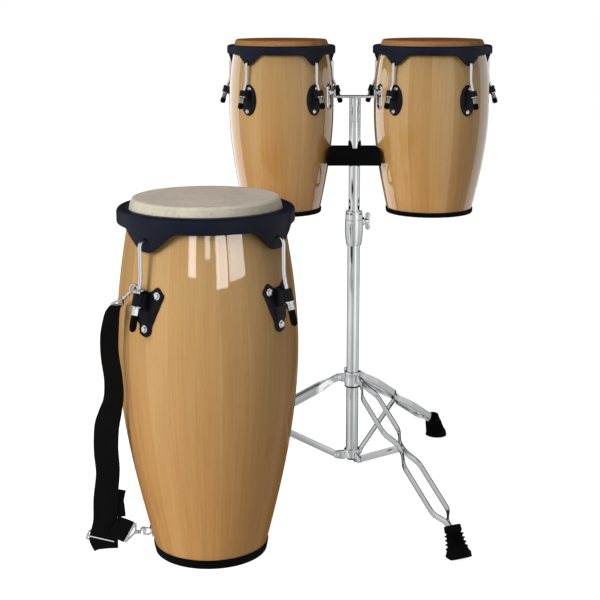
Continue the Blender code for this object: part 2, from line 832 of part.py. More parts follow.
def make_t_bar():
    """Flat bar over the pole's top; the tab at each end has a slot that is open at the top."""
    plug_r = UPPER_TUBE_R - TUBE_WALL - GAP
    top = T_BAR_Z + T_BAR_THICK / 2
    bottom = T_BAR_Z - T_BAR_THICK / 2
    ends = sorted(tab_face(drum) for drum in MINIS)
    half = T_BAR_DEPTH / 2
    slot_half = MOUNT_BOLT_R + 0.0005
    item = box("t_bar", (ends[0], -half, bottom), (ends[1], half, top))
    tools = [bar("plug", plug_r, (0, 0, bottom - 0.030), (0, 0, bottom + 0.002), sides=TUBE_SEGMENTS)]
    slots = []
    for end, inward in ((ends[0], 1), (ends[1], -1)):
        faces = sorted((end, end + inward * TAB_THICK))
        tools.append(box("tab", (faces[0], -half, bottom), (faces[1], half, TAB_TOP)))
        slot_low = (faces[0] - 0.005, -slot_half, MOUNT_BOLT_Z - slot_half)
        slot_high = (faces[1] + 0.002, slot_half, TAB_TOP + 0.05)
        slots.append(box("slot", slot_low, slot_high))
    join(item, *tools)
    return cut(item, *slots)


def make_rest_bar():
    """Block on the pole whose two ends follow the drums' shells, with a cone over it."""
    low, high = REST_Z
    item = box("rest_bar", (REST_X[0], REST_Y[0], low), (REST_X[1], REST_Y[1], high))
    foot_r, top_r = REST_CONE_R
    cone_ends = [(0, 0, high - 0.001), (0, 0, REST_CONE_TOP)]
    cone = bar("cone", foot_r, *cone_ends, sides=TUBE_SEGMENTS, end_radius=top_r)
    bore_r = (UPPER_TUBE_R + GAP) / math.cos(math.pi / TUBE_SEGMENTS)
    bore = bar("bore", bore_r, (0, 0, low - 0.01), (0, 0, REST_CONE_TOP + 0.01), sides=TUBE_SEGMENTS)
    join(item, cone)
    return cut(item, bore, *(shell_cutter(drum) for drum in MINIS))


def strip_line(offset):
    """One side of a leg's strip, as (along, across) points from the collar end to the foot."""
    pinched = PINCH + offset
    bowed = STRIP_BOW + offset
    return [
        (-0.009, pinched),
        (0.018, pinched),
        (0.050, bowed),
        (0.165, bowed),
        (0.198, pinched),
        (0.224, pinched),
        (0.262, bowed),
        (0.400, bowed),
    ]


def make_leg(name):
    """Two bowed strips that meet at the foot, in the leg's own frame with its pivot at the origin."""
    half = STRIP_THICK / 2
    outer = [*strip_line(half), (STRIPS_MEET, STRIP_THICK), (LEG_LENGTH, STRIP_THICK)]
    inner = [*strip_line(-half), (STRIPS_MEET, 0.0)]

    def mirrored(points):
        return [(along, -across) for along, across in points]

    outline = outer + mirrored(reversed(outer)) + mirrored(inner) + inner[-2::-1]
    item = plate(name, outline, STRIP_WIDE, Matrix())
    return cut(item, bar("eye", HOLE_R, (0, -0.01, 0), (0, 0.01, 0)))


def brace_end():
    """Vector from the hub pivot to the brace's pivot on the leg, as (out, up)."""
    out = LEG_TO_BRACE * math.cos(LEG_SLOPE)
    up = COLLAR_PIVOT_Z - LEG_TO_BRACE * math.sin(LEG_SLOPE) - HUB_PIVOT_Z
    return out, up


def make_brace(name):
    """Flat brace in its own frame, with its hub pivot at the origin."""
    length = math.hypot(*brace_end())
    half = STRIP_WIDE / 2
    item = box(name, (-half, -BRACE_THICK / 2, -half), (length + half, BRACE_THICK / 2, half))
    eyes = [bar("eye", HOLE_R, (x, -0.01, 0), (x, 0.01, 0)) for x in (0, length)]
    return cut(item, *eyes)


def make_foot(name):
    """Rubber boot on a leg's end, in the leg's own frame, cut flat where it stands on the floor."""
    floor = about((0, 0, COLLAR_PIVOT_Z), 0, LEG_SLOPE).inverted()
    ends = [floor @ Vector((out, 0, up)) for out, up in (FOOT_TOP, FOOT_LOW)]
    item = bar(name, FOOT_R[0], *ends, sides=16, end_radius=FOOT_R[1])
    below = box("below", (0.3, -0.1, -0.1), (0.6, 0.1, 0.0), floor)
    half = STRIP_WIDE / 2 + GAP
    side = STRIP_THICK + GAP
    socket_mouth = LEG_LENGTH - 0.06
    socket = box("socket", (socket_mouth, -side, -half), (LEG_LENGTH + GAP, side, half))
    cut(item, below, socket)
    return move_origin(item, Matrix())


def make_tripod():
    leg = make_leg("leg_1")
    brace = make_brace("brace_1")
    foot = make_foot("foot_1")
    out, up = brace_end()
    brace_slope = -math.atan2(up, out)
    made = {"leg": [leg], "brace": [brace], "foot": [foot]}
    for number, azimuth in enumerate(LEG_AZIMUTHS, 1):
        pivot = Matrix.Rotation(azimuth, 4, "Z") @ Vector((PIVOT_OUT, 0, 0))
        leg_frame = about(pivot + Vector((0, 0, COLLAR_PIVOT_Z)), azimuth, LEG_SLOPE)
        brace_frame = about(pivot + Vector((0, 0, HUB_PIVOT_Z)), azimuth, brace_slope)
        if number == 1:
            leg.matrix_world = leg_frame
            foot.matrix_world = leg_frame
            brace.matrix_world = brace_frame
            continue
        made["leg"].append(copy_of(leg, f"leg_{number}", leg_frame))
        made["foot"].append(copy_of(foot, f"foot_{number}", leg_frame))
        made["brace"].append(copy_of(brace, f"brace_{number}", brace_frame))
    return made


# ---------------------------------------------------------------- shoulder strap
# Centre of the webbing and the way its width points, in the conga's own frame.
STRAP_ROUTE = (
    ((-0.188, -0.108, 0.545), 35),
    ((-0.196, -0.100, 0.500), 38),
    ((-0.201, -0.094, 0.455), 38),
    ((-0.199, -0.090, 0.410), 40),
    ((-0.195, -0.092, 0.370), 42),
    ((-0.197, -0.090, 0.335), 36),
    ((-0.206, -0.085, 0.300), 28),
    ((-0.212, -0.078, 0.250), 22),
    ((-0.208, -0.072, 0.200), 16),
    ((-0.211, -0.066, 0.140), 12),
    ((-0.2110, -0.0610, 0.090), 8),
    ((-0.2255, -0.0570, 0.050), 4),
    ((-0.2322, -0.0552, 0.029), 4),
)
SLIDER_STEP = -2  # the route's point that the slider sits at
SIDE_RUN_MIDDLE = Vector((-0.1700, -0.0572, 0.0610))  # the end of the run that goes to the lower clip
SIDE_RUN_LEAN = math.radians(28)  # the way that end leans out of the vertical, towards +X
EYE_AZIMUTH = math.radians(-84)
EYE_Z = 0.044


def strap_frames():
    """Frames along the webbing: X across it, Z down along it."""
    centres = [Vector(centre) for centre, _ in STRAP_ROUTE]
    frames = []
    for index, (_, angle) in enumerate(STRAP_ROUTE):
        before = centres[max(index - 1, 0)]
        after = centres[min(index + 1, len(centres) - 1)]
        along = (after - before).normalized()
        turn = math.radians(angle)
        across = Vector((math.cos(turn), math.sin(turn), 0))
        through = along.cross(across).normalized()
        across = through.cross(along).normalized()
        frame = Matrix((across, through, along)).transposed().to_4x4()
        frames.append(Matrix.Translation(centres[index]) @ frame)
    return frames


def side_run_frame():
    """Frame at the end of the side run: X on towards the lower clip, Y up along the end's edge."""
    along = Vector((math.cos(SIDE_RUN_LEAN), 0, -math.sin(SIDE_RUN_LEAN)))
    edge = Vector((math.sin(SIDE_RUN_LEAN), 0, math.cos(SIDE_RUN_LEAN)))
    frame = Matrix((along, edge, along.cross(edge))).transposed().to_4x4()
    return Matrix.Translation(SIDE_RUN_MIDDLE) @ frame


def make_strap():
    """Hanging webbing: an open ribbon along the route, thickened with Solidify."""
    vertices = []
    for frame in strap_frames():
        for side in (-0.5, 0, 0.5):
            vertices.append(frame @ Vector((side * WEBBING_WIDE, 0, 0)))
    faces = []
    for row in range(len(STRAP_ROUTE) - 1):
        for column in range(2):
            start = row * 3 + column
            faces.append((start, start + 1, start + 4, start + 3))
    mesh = bpy.data.meshes.new("shoulder_strap")
    mesh.from_pydata(vertices, [], faces)
    item = add_object("shoulder_strap", mesh)
    item.matrix_world = drum_frame(CONGA)
    thick = item.modifiers.new("thickness", "SOLIDIFY")
    thick.thickness = WEBBING_THICK
    thick.offset = 0.0
    settle(item)
    half = WEBBING_WIDE / 2
    fold = [(-0.0125, -0.0180), (-0.0125, 0.0030), (-0.0330, 0.0050)]
    outline = [(-0.0330, half), (0, half), (0, -half), *fold]
    side_run = plate("side_run", outline, WEBBING_THICK, drum_frame(CONGA) @ side_run_frame())
    return join(item, side_run)


def make_slider():
    """Rectangular slider that the webbing runs through."""
    frame = strap_frames()[SLIDER_STEP]
    wide = WEBBING_WIDE / 2 + 0.0008
    thick = WEBBING_THICK / 2 + 0.0016
    outer = Vector((wide + 0.0035, thick + 0.0025, 0.006))
    item = box("strap_slider", -outer, outer, frame)
    cut(item, box("slot", (-wide, -thick, -0.02), (wide, thick, 0.02), frame))
    return set_frame(move_origin(item, Matrix()), drum_frame(CONGA))


def ring_points(centre, across, up, half_wide, half_tall, count=12):
    """Points round an oval ring."""
    points = []
    for step in range(count):
        angle = math.tau * step / count
        points.append(centre + across * (half_wide * math.cos(angle)) + up * (half_tall * math.sin(angle)))
    return points


def make_ring(name, centre, across, up, half_wide, half_tall, radius):
    """A closed wire ring, as a curve whose ends meet."""
    curve = bpy.data.curves.new(name, "CURVE")
    curve.dimensions = "3D"
    curve.bevel_depth = radius
    curve.bevel_resolution = 1
    spline = curve.splines.new("POLY")
    points = ring_points(centre, across, up, half_wide, half_tall)
    spline.points.add(len(points) - 1)
    for point, place in zip(spline.points, points):
        point.co = (*place, 1.0)
    spline.use_cyclic_u = True
    return mesh_of_curve(name, curve, Matrix())


def make_top_clip():
    """Snap hook from the lug's rod to the webbing: a ring round the rod, a stem and a loop."""
    rod_place, _ = rod_at(CONGA, CONGA.sleeve[0] + 0.007)
    turn = Matrix.Rotation(outward(CONGA.lug_azimuths[0]), 4, "Z")
    centre = turn @ rod_place
    end = strap_frames()[0]
    loop = end @ Vector((0, 0, -0.0025))
    loop_across = end.to_3x3() @ Vector((1, 0, 0))
    level = Vector((loop.x - centre.x, loop.y - centre.y, 0)).normalized()
    side = level.cross(Vector((0, 0, 1)))
    ring = make_ring("strap_top_clip", centre, level, side, 0.0110, 0.0085, 0.0018)
    stem = bar("stem", 0.0030, centre + level * 0.0112, loop)
    reach = loop_across * (WEBBING_WIDE / 2 + 0.0005)
    loop_bar = bar("loop", 0.0020, loop - reach, loop + reach)
    join(ring, stem, loop_bar)
    return set_frame(move_origin(ring, Matrix()), drum_frame(CONGA))


def eye_point(reach):
    """A point in front of the shell's eye, this far from the shell."""
    radius = shell_r(CONGA, EYE_Z) + reach
    return Matrix.Rotation(EYE_AZIMUTH, 4, "Z") @ Vector((0, -radius, EYE_Z))


def make_strap_eye():
    """Screwed eye low on the shell that the strap's lower clip hooks into."""
    frame = about((0, 0, EYE_Z), outward(EYE_AZIMUTH))
    radius = shell_r(CONGA, EYE_Z)
    item = box("strap_eye", (radius - 0.004, -0.010, -0.010), (radius + 0.003, 0.010, 0.010), frame)
    outwards = (eye_point(1) - eye_point(0)).normalized()
    ring = make_ring("ring", eye_point(0.010), outwards, Vector((0, 0, 1)), 0.0085, 0.0075, 0.0018)
    join(item, ring)
    cutter = shell_cutter(CONGA)
    cutter.matrix_world = Matrix()
    cut(item, cutter)
    return set_frame(move_origin(item, Matrix()), drum_frame(CONGA))


def make_bottom_clip():
    """Snap hook from the eye to a bar along the end of the webbing's side run."""
    frame = side_run_frame()
    start = eye_point(0.0185)
    past_end = 0.0027
    middle = frame @ Vector((past_end, 0, 0))
    ends = [frame @ Vector((past_end, side * WEBBING_WIDE / 2, 0)) for side in (-1, 1)]
    direction = (middle - start).normalized()
    side = direction.cross(Vector((0, 0, 1))).normalized()
    ring = make_ring("strap_bottom_clip", start, direction, side, 0.0095, 0.0060, 0.0017)
    stem = bar("stem", 0.0035, start + direction * 0.0095, middle - direction * 0.001)
    join(ring, stem, bar("end_bar", 0.0022, *ends))
    return set_frame(move_origin(ring, Matrix()), drum_frame(CONGA))


# ---------------------------------------------------------------- the whole set
def own_copy(item, look):
    """Finishes an object that shared its mesh, so that its material is its own."""
    item.data = item.data.copy()
    return finish(item, look)


def build_drum(drum, wood, skin):
    finish(make_shell(drum), wood)
    finish(make_head(drum), skin)
    finish(make_rim(drum), BLACK_PAINT)
    finish(make_base_ring(drum), RUBBER)


def build_conga():
    build_drum(CONGA, WOOD, SKIN)
    lugs = make_conga_lugs(CONGA)
    for item in lugs["plate"]:
        own_copy(item, BLACK_PAINT)
    for item in lugs["rod"] + lugs["nut"]:
        own_copy(item, CHROME)
    finish(make_strap(), WEBBING)
    finish(make_slider(), CHROME)
    finish(make_top_clip(), CHROME)
    finish(make_bottom_clip(), CHROME)
    finish(make_strap_eye(), CHROME)


def build_mini(drum):
    build_drum(drum, PALE_WOOD, BROWN_SKIN)
    for item in make_mini_lugs(drum):
        own_copy(item, BLACK_PAINT)
    finish(make_bracket(drum), CHROME)
    finish(make_knob(drum), RUBBER)


def build_stand():
    finish(make_lower_tube(), CHROME)
    finish(tube("upper_tube", UPPER_TUBE_R, *UPPER_TUBE_Z), CHROME)
    finish(make_clamp(), CHROME)
    clamp_frame = Matrix.Translation((0, 0, CLAMP_SCREW_Z))
    finish(make_wing_bolt("height_wing_bolt", clamp_frame, UPPER_TUBE_R + 0.0008, CLAMP_BOSS_END), CHROME)
    finish(make_collar(), CHROME)
    collar_frame = about((0, 0, sum(COLLAR_Z) / 2), COLLAR_SCREW_AZIMUTH)
    finish(make_wing_bolt("collar_wing_bolt", collar_frame, LOWER_TUBE_R + 0.0008, COLLAR_BOSS_END), CHROME)
    finish(make_t_bar(), CHROME)
    finish(make_rest_bar(), RUBBER)
    tripod = make_tripod()
    for item in tripod["leg"] + tripod["brace"]:
        own_copy(item, CHROME)
    for item in tripod["foot"]:
        own_copy(item, RUBBER)


def place_all():
    """Hangs everything on one empty at the foot of the pole."""
    pole = bpy.data.objects.new("pole_foot", None)
    PARTS.objects.link(pole)
    pole.location = POLE
    for item in PARTS.objects:
        if item != pole:
            item.parent = pole


clear_scene()
PARTS = collection("conga_drums")
CUTTERS = collection("cutters")
build_conga()
for mini_drum in MINIS:
    build_mini(mini_drum)
build_stand()
place_all()
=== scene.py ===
"""The looks of a set of conga drums, built round its CAD frame: a large conga with a shoulder strap,
and two mini congas on the T-bar of a folding tripod stand. Metres, +Z up, floor at z = 0."""

import math
from dataclasses import dataclass

import bmesh
import bpy
from mathutils import Matrix, Vector


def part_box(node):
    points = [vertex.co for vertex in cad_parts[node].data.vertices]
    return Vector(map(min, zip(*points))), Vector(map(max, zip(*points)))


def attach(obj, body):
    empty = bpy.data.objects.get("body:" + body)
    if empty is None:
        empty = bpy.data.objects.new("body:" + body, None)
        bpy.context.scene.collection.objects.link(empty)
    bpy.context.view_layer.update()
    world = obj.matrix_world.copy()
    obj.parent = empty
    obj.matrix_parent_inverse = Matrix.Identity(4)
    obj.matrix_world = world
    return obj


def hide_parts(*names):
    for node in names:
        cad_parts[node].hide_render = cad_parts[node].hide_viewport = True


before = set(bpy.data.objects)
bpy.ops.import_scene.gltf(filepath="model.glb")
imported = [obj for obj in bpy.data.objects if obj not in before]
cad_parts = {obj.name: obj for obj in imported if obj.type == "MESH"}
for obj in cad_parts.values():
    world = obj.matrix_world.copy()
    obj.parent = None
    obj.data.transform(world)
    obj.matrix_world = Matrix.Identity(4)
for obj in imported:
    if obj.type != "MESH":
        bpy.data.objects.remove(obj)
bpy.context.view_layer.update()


# ---------------------------------------------------------------- dimensions, as in the CAD (metres)
def deg(*angles):
    return tuple(math.radians(angle) for angle in angles)


def middle_of(node):
    low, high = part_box(node)
    return (low + high) / 2


POLE = middle_of("upper_tube")
POLE.z = 0.0


@dataclass(frozen=True)
class Drum:
    """One drum. Heights are from its own bottom, radii from its own axis."""

    name: str
    body: str
    place: Vector
    floor: float
    turn: float  # the way its front faces, from -Y towards +X
    base_r: float
    belly_r: float
    top_r: float
    belly_z: float
    top_z: float
    shoulder: float
    shell_foot: float
    wall: float
    skin: float
    rim_r: float
    rim_z: tuple
    rim_round: float  # radius of the rim's outer top edge
    hoop: tuple
    ring_z: float
    ring_inner: float
    lug_azimuths: tuple
    ear_half: tuple
    ear_tip: float
    eye_z: float
    rod_r: float
    plate: tuple
    rod: tuple
    sleeve: tuple
    nut: tuple
    staves: int


def mini(name, from_pole, turn, size):
    """A mini conga; size scales its radii, because its height and its fittings stay the same."""
    return Drum(
        name=name,
        body=f"{name}_drum",
        place=POLE + Vector(from_pole),
        floor=0.6585,
        turn=math.radians(turn),
        base_r=0.0960 * size,
        belly_r=0.1300 * size,
        top_r=0.1110 * size,
        belly_z=0.240,
        top_z=0.3885,
        shoulder=2.6,
        shell_foot=0.0025,
        wall=0.0075,
        skin=0.0018,
        rim_r=0.1340 * size,
        rim_z=(0.3595, 0.3785),
        rim_round=0.0055,
        hoop=(0.3635, 0.0060, 0.0050),
        ring_z=0.011,
        ring_inner=0.0850 * size,
        lug_azimuths=deg(37.5, 113, 180, -113, -37.5),
        ear_half=deg(13.5, 2.6),
        ear_tip=0.3365,
        eye_z=0.3440,
        rod_r=0.0030,
        plate=(0.2277, 0.2957),
        rod=((0.0050, 0.3020), (0.0190, 0.2810), (0.0300, 0.2460)),
        sleeve=(0.2830, 0.2700),
        nut=(0.2685, 0.2560),
        staves=16,
    )


CONGA = Drum(
    name="conga",
    body="conga_drum",
    place=POLE + Vector((-0.312, -0.3445, 0.0)),
    floor=0.0,
    turn=math.radians(4.2),
    base_r=0.1150,
    belly_r=0.1858,
    top_r=0.1470,
    belly_z=0.450,
    top_z=0.7510,
    shoulder=1.75,
    shell_foot=0.0035,
    wall=0.0100,
    skin=0.0022,
    rim_r=0.1790,
    rim_z=(0.7040, 0.7355),
    rim_round=0.0095,
    hoop=(0.7085, 0.0080, 0.0070),
    ring_z=0.020,
    ring_inner=0.1030,
    lug_azimuths=deg(-41, 50, 140, -130),
    ear_half=deg(20.0, 4.6),
    ear_tip=0.6655,
    eye_z=0.6885,
    rod_r=0.0040,
    plate=(0.5000, 0.6000),
    rod=((0.0150, 0.6180), (0.0250, 0.5890), (0.0376, 0.5190)),
    sleeve=(0.5890, 0.5650),
    nut=(0.5637, 0.5480),
    staves=22,
)
LEFT = mini("left", (-0.165, 0.050, 0.0), 0.8, 0.909)
RIGHT = mini("right", (0.175, 0.050, 0.0), -5.6, 1.0)
MINIS = (LEFT, RIGHT)

GAP = 0.0003
SKIN_GAP = 0.0006  # between the shell and the hide
RIM_WALL = 0.0045
RING_GAP = 0.0006  # between the shell and its rubber ring
TURN_STEPS = 120  # sides of a round drum part

# Stand
UPPER_TUBE_R = 0.0127
LOWER_TUBE_R = 0.0143
TUBE_WALL = 0.0011
LOWER_TUBE_Z = (0.075, 0.618)
UPPER_TUBE_Z = (0.400, 0.9215)
HUB_Z = (0.076, 0.097)
HUB_R = 0.0185
CLAMP_Z = (0.588, 0.667)
CLAMP_R = 0.0205
CLAMP_SCREW_Z = 0.6435
CLAMP_BOSS_END = 0.0240  # from the pole's axis
COLLAR_Z = (0.251, 0.288)
COLLAR_R = 0.0185
COLLAR_BOSS_END = 0.0255
COLLAR_SCREW_AZIMUTH = math.radians(118)
T_BAR_Z = 0.925
T_BAR_THICK = 0.005
T_BAR_DEPTH = 0.022
TAB_THICK = 0.003
TAB_TOP = 0.9445
MOUNT_BOLT_Z = 0.9342
MOUNT_BOLT_R = 0.003
SLOT_R = 0.0035
BOSS_R = 0.0065
BOSS_LENGTH = 0.0085
KNOB_R = 0.0065
KNOB_LENGTH = 0.009
REST_Z = (0.772, 0.810)
REST_X = ((-0.0625, 0.0600), (-0.0580, 0.0546))
REST_Y = (-0.018, 0.055)
REST_CONE_R = (0.0152, 0.0142)
REST_CONE_TOP = 0.827
WING_SPAN = 0.040
SCREW_R = 0.003

# Tripod linkage
LEG_AZIMUTHS = deg(-62.3, 57.7, 177.7)
PIVOT_OUT = 0.035
COLLAR_PIVOT_Z = 0.272
HUB_PIVOT_Z = 0.081
LEG_SLOPE = math.radians(30)
LEG_TO_BRACE = 0.211
LEG_LENGTH = 0.462
CHEEK_HALF = 0.0115  # half the height of a clevis cheek at the tube
CHEEK_R = 0.0088
STRIP_WIDE = 0.016
STRIP_THICK = 0.0025
STRIP_BOW = 0.020
PINCH = 0.00325
PIN_R = 0.003
BRACE_THICK = 0.003
FOOT_TOP = (0.388, 0.060)  # out from the leg's pivot, and up from the floor
FOOT_LOW = (0.418, -0.004)
FOOT_R = (0.0180, 0.0270)

# Shoulder strap, in the conga's own frame: the middle of the webbing, and its turn about Z
WEBBING_WIDE = 0.050
WEBBING_THICK = 0.0022
STRAP_ROUTE = (
    ((-0.1780, -0.1125, 0.5570), 57),
    ((-0.1860, -0.1115, 0.5420), 56),
    ((-0.1925, -0.1070, 0.5000), 48),
    ((-0.1935, -0.1040, 0.4550), 50),
    ((-0.1885, -0.1050, 0.4100), 49),
    ((-0.1890, -0.1030, 0.3700), 40),
    ((-0.1975, -0.0960, 0.3350), 20),
    ((-0.2060, -0.0870, 0.3000), 3),
    ((-0.2095, -0.0790, 0.2500), 12),
    ((-0.2080, -0.0720, 0.2000), 18),
    ((-0.2150, -0.0660, 0.1400), 10),
    ((-0.2180, -0.0610, 0.0900), 12),
    ((-0.2285, -0.0575, 0.0500), 12),
    ((-0.2305, -0.0555, 0.0290), 10),
)
FOLD_TOP = 0.052
FOLD_TALL = 0.022
FOLD_SHIFT = 0.0115
FLAP_WIDE = 0.026
FLAP_Y = -0.0545
SIDE_RUN_MIDDLE = Vector((-0.1700, -0.0572, 0.0610))
SIDE_RUN_LEAN = math.radians(28)
SLIDER_TILT = math.radians(11)
EYE_AZIMUTH = math.radians(-84)
EYE_Z = 0.044


# ---------------------------------------------------------------- materials
class Paint:
    """A node material being made around one Principled shader."""

    def __init__(self, name, **settings):
        self.material = bpy.data.materials.new(name)
        self.material.use_nodes = True
        self.nodes = self.material.node_tree.nodes
        self.links = self.material.node_tree.links
        self.shader = self.nodes["Principled BSDF"]
        for key, value in settings.items():
            self.shader.inputs[key.replace("_", " ")].default_value = value

    def put(self, socket, value):
        """Gives a socket a value, or links another node's output to it."""
        if isinstance(value, bpy.types.NodeSocket):
            self.links.new(value, socket)
        else:
            socket.default_value = value

    def node(self, kind, values=None, **settings):
        made = self.nodes.new(kind)
        for key, value in settings.items():
            setattr(made, key, value)
        for key, value in (values or {}).items():
            self.put(made.inputs[key], value)
        return made

    def place(self, output="Object"):
        return self.node("ShaderNodeTexCoord").outputs[output]

    def math(self, operation, a, b=0.0):
        return self.node("ShaderNodeMath", {0: a, 1: b}, operation=operation).outputs[0]

    def noise(self, vector, scale, detail=3.0, distortion=0.0):
        values = {"Vector": vector, "Scale": scale, "Detail": detail, "Distortion": distortion}
        return self.node("ShaderNodeTexNoise", values).outputs["Fac"]

    def stretched(self, vector, scale):
        return self.node("ShaderNodeMapping", {"Vector": vector, "Scale": scale}).outputs["Vector"]

    def ramp(self, factor, *stops):
        """A colour ramp of (position, colour) stops."""
        made = self.node("ShaderNodeValToRGB", {"Fac": factor})
        while len(made.color_ramp.elements) < len(stops):
            made.color_ramp.elements.new(0.5)
        for element, (position, colour) in zip(made.color_ramp.elements, stops):
            element.position = position
            element.color = (*colour, 1.0)
        return made.outputs["Color"]

    def levels(self, factor, low, high, from_low=0.0, from_high=1.0):
        """The factor's range turned into another; the node's inputs are the value and its four limits."""
        values = {0: factor, 1: from_low, 2: from_high, 3: low, 4: high}
        return self.node("ShaderNodeMapRange", values).outputs["Result"]

    def mixed(self, factor, first, second, blend="MIX"):
        """Two colours mixed; sockets 6 and 7 of the node are its colour inputs and output 2 its colour."""
        values = {0: factor, 6: first, 7: second}
        return self.node("ShaderNodeMix", values, data_type="RGBA", blend_type=blend).outputs[2]

    def times(self, colour, factor):
        return self.mixed(1.0, colour, factor, "MULTIPLY")

    def bump(self, height, strength, distance):
        values = {"Height": height, "Strength": strength, "Distance": distance}
        self.put(self.shader.inputs["Normal"], self.node("ShaderNodeBump", values).outputs["Normal"])

    def colour(self, value):
        self.put(self.shader.inputs["Base Color"], value)

    def roughness(self, value):
        self.put(self.shader.inputs["Roughness"], value)


def rgb(colour):
    return (*colour, 1.0)


FOOT_TINT = (1.14, 1.03, 0.88)  # the lacquer is deeper towards the drum's foot
TOP_TINT = (0.86, 0.92, 1.0)


def wood_paint(name, drum, girth, tones, seed, coat=1.0):
    """Lacquered staves: each has its own tone and its own grain, with a fine line at each joint."""
    paint = Paint(name, Coat_Weight=coat, Coat_Roughness=0.035, Coat_IOR=1.5, Specular_IOR_Level=0.0)
    dark, middle, light = tones
    place = paint.place()
    around = paint.node("ShaderNodeTexGradient", {"Vector": place}, gradient_type="RADIAL").outputs["Fac"]
    stave = paint.math("ADD", paint.math("MULTIPLY", around, drum.staves), seed)
    number = paint.math("FLOOR", stave)
    tone = paint.node("ShaderNodeTexWhiteNoise", {"W": number}, noise_dimensions="1D").outputs["Value"]
    up = paint.node("ShaderNodeSeparateXYZ", {"Vector": place}).outputs["Z"]
    across = paint.math("MULTIPLY", around, girth)
    flat = paint.node("ShaderNodeCombineXYZ", {"X": across, "Y": up, "Z": paint.math("MULTIPLY", tone, 9.0)})
    flat = flat.outputs["Vector"]

    def grain(wide, long, detail, distortion):
        return paint.noise(paint.stretched(flat, (wide, long, 1.0)), 1.0, detail, distortion)

    fibre = grain(230.0, 5.0, 4.0, 0.3)
    figure = grain(34.0, 3.0, 4.0, 1.4)
    broad = grain(9.0, 1.6, 3.0, 0.6)
    fleck = grain(640.0, 42.0, 2.0, 0.0)
    mood = paint.math("ADD", paint.math("MULTIPLY", tone, 0.34), paint.math("MULTIPLY", figure, 0.34))
    mood = paint.math("ADD", mood, paint.math("MULTIPLY", broad, 0.34))
    colour = paint.ramp(mood, (0.26, dark), (0.5, middle), (0.76, light))
    colour = paint.times(colour, paint.levels(fibre, 0.94, 1.04, 0.30, 0.70))
    colour = paint.times(colour, paint.levels(fleck, 0.90, 1.0, 0.26, 0.40))
    edge = paint.math("ABSOLUTE", paint.math("SUBTRACT", paint.math("FRACT", stave), 0.5))
    joint = paint.levels(edge, 1.0, 0.86, 0.488, 0.498)
    colour = paint.times(colour, joint)
    rise = paint.math("DIVIDE", up, drum.top_z)
    paint.colour(paint.times(colour, paint.ramp(rise, (0.10, FOOT_TINT), (0.85, TOP_TINT))))
    paint.roughness(paint.levels(fibre, 0.32, 0.46))
    paint.bump(fibre, 0.03, 0.0003)
    return paint.material


def hide_paint(name, drum_top, top, side, stain, spine, specular):
    """Stretched animal hide: painted shade darkens its top against its lighter side, blotched, with specks
    and fine pores.
    """
    paint = Paint(name, Specular_IOR_Level=specular)
    place = paint.place()
    cloud = paint.noise(place, 9.0, 4.0, 0.6)
    fine = paint.noise(place, 60.0, 5.0)
    pores = paint.noise(place, 620.0, 2.0)
    speck = paint.noise(place, 150.0, 2.0)
    streak = paint.noise(paint.stretched(place, (2.0, 16.0, 2.0)), 1.6, 4.0, 0.9)
    up = paint.node("ShaderNodeSeparateXYZ", {"Vector": place}).outputs["Z"]
    # Painted shade: the hide's top takes the darker top colour, and its side the lighter side colour.
    painted_top_shade = paint.levels(up, 0.0, 1.0, drum_top - 0.0030, drum_top - 0.0004)
    colour = paint.mixed(painted_top_shade, rgb(side), rgb(top))
    colour = paint.times(colour, paint.levels(cloud, 0.90, 1.08, 0.30, 0.70))
    colour = paint.times(colour, paint.levels(fine, 0.93, 1.03, 0.32, 0.60))
    colour = paint.mixed(paint.levels(streak, 0.0, 0.55, 0.54, 0.74), colour, rgb(spine))
    colour = paint.mixed(paint.levels(speck, 0.0, 0.75, 0.66, 0.78), colour, rgb(stain))
    paint.colour(colour)
    paint.roughness(paint.levels(fine, 0.50, 0.70))
    paint.bump(paint.math("ADD", pores, paint.math("MULTIPLY", fine, 1.5)), 0.20, 0.0004)
    return paint.material


def coat_paint(name, colour, roughness, grain, strength, specular):
    """Powder coat or moulded plastic: an even colour with a fine pebbled surface."""
    paint = Paint(name, Specular_IOR_Level=specular)
    place = paint.place()
    cloud = paint.noise(place, 22.0, 4.0)
    pebble = paint.noise(place, grain, 3.0)
    darker = tuple(0.82 * part for part in colour)
    lighter = tuple(1.22 * part for part in colour)
    paint.colour(paint.ramp(cloud, (0.3, darker), (0.7, lighter)))
    paint.roughness(paint.levels(cloud, roughness - 0.05, roughness + 0.07, 0.3, 0.7))
    paint.bump(pebble, strength, 0.0003)
    return paint.material


def chrome_paint(name, low, high):
    paint = Paint(name, Metallic=1.0)
    place = paint.place()
    cloud = paint.noise(place, 35.0, 4.0)
    fine = paint.noise(paint.stretched(place, (240.0, 240.0, 30.0)), 1.0, 2.0)
    paint.colour(paint.ramp(cloud, (0.3, low), (0.7, high)))
    paint.roughness(paint.levels(fine, 0.07, 0.14, 0.3, 0.7))
    paint.bump(cloud, 0.008, 0.0004)
    return paint.material


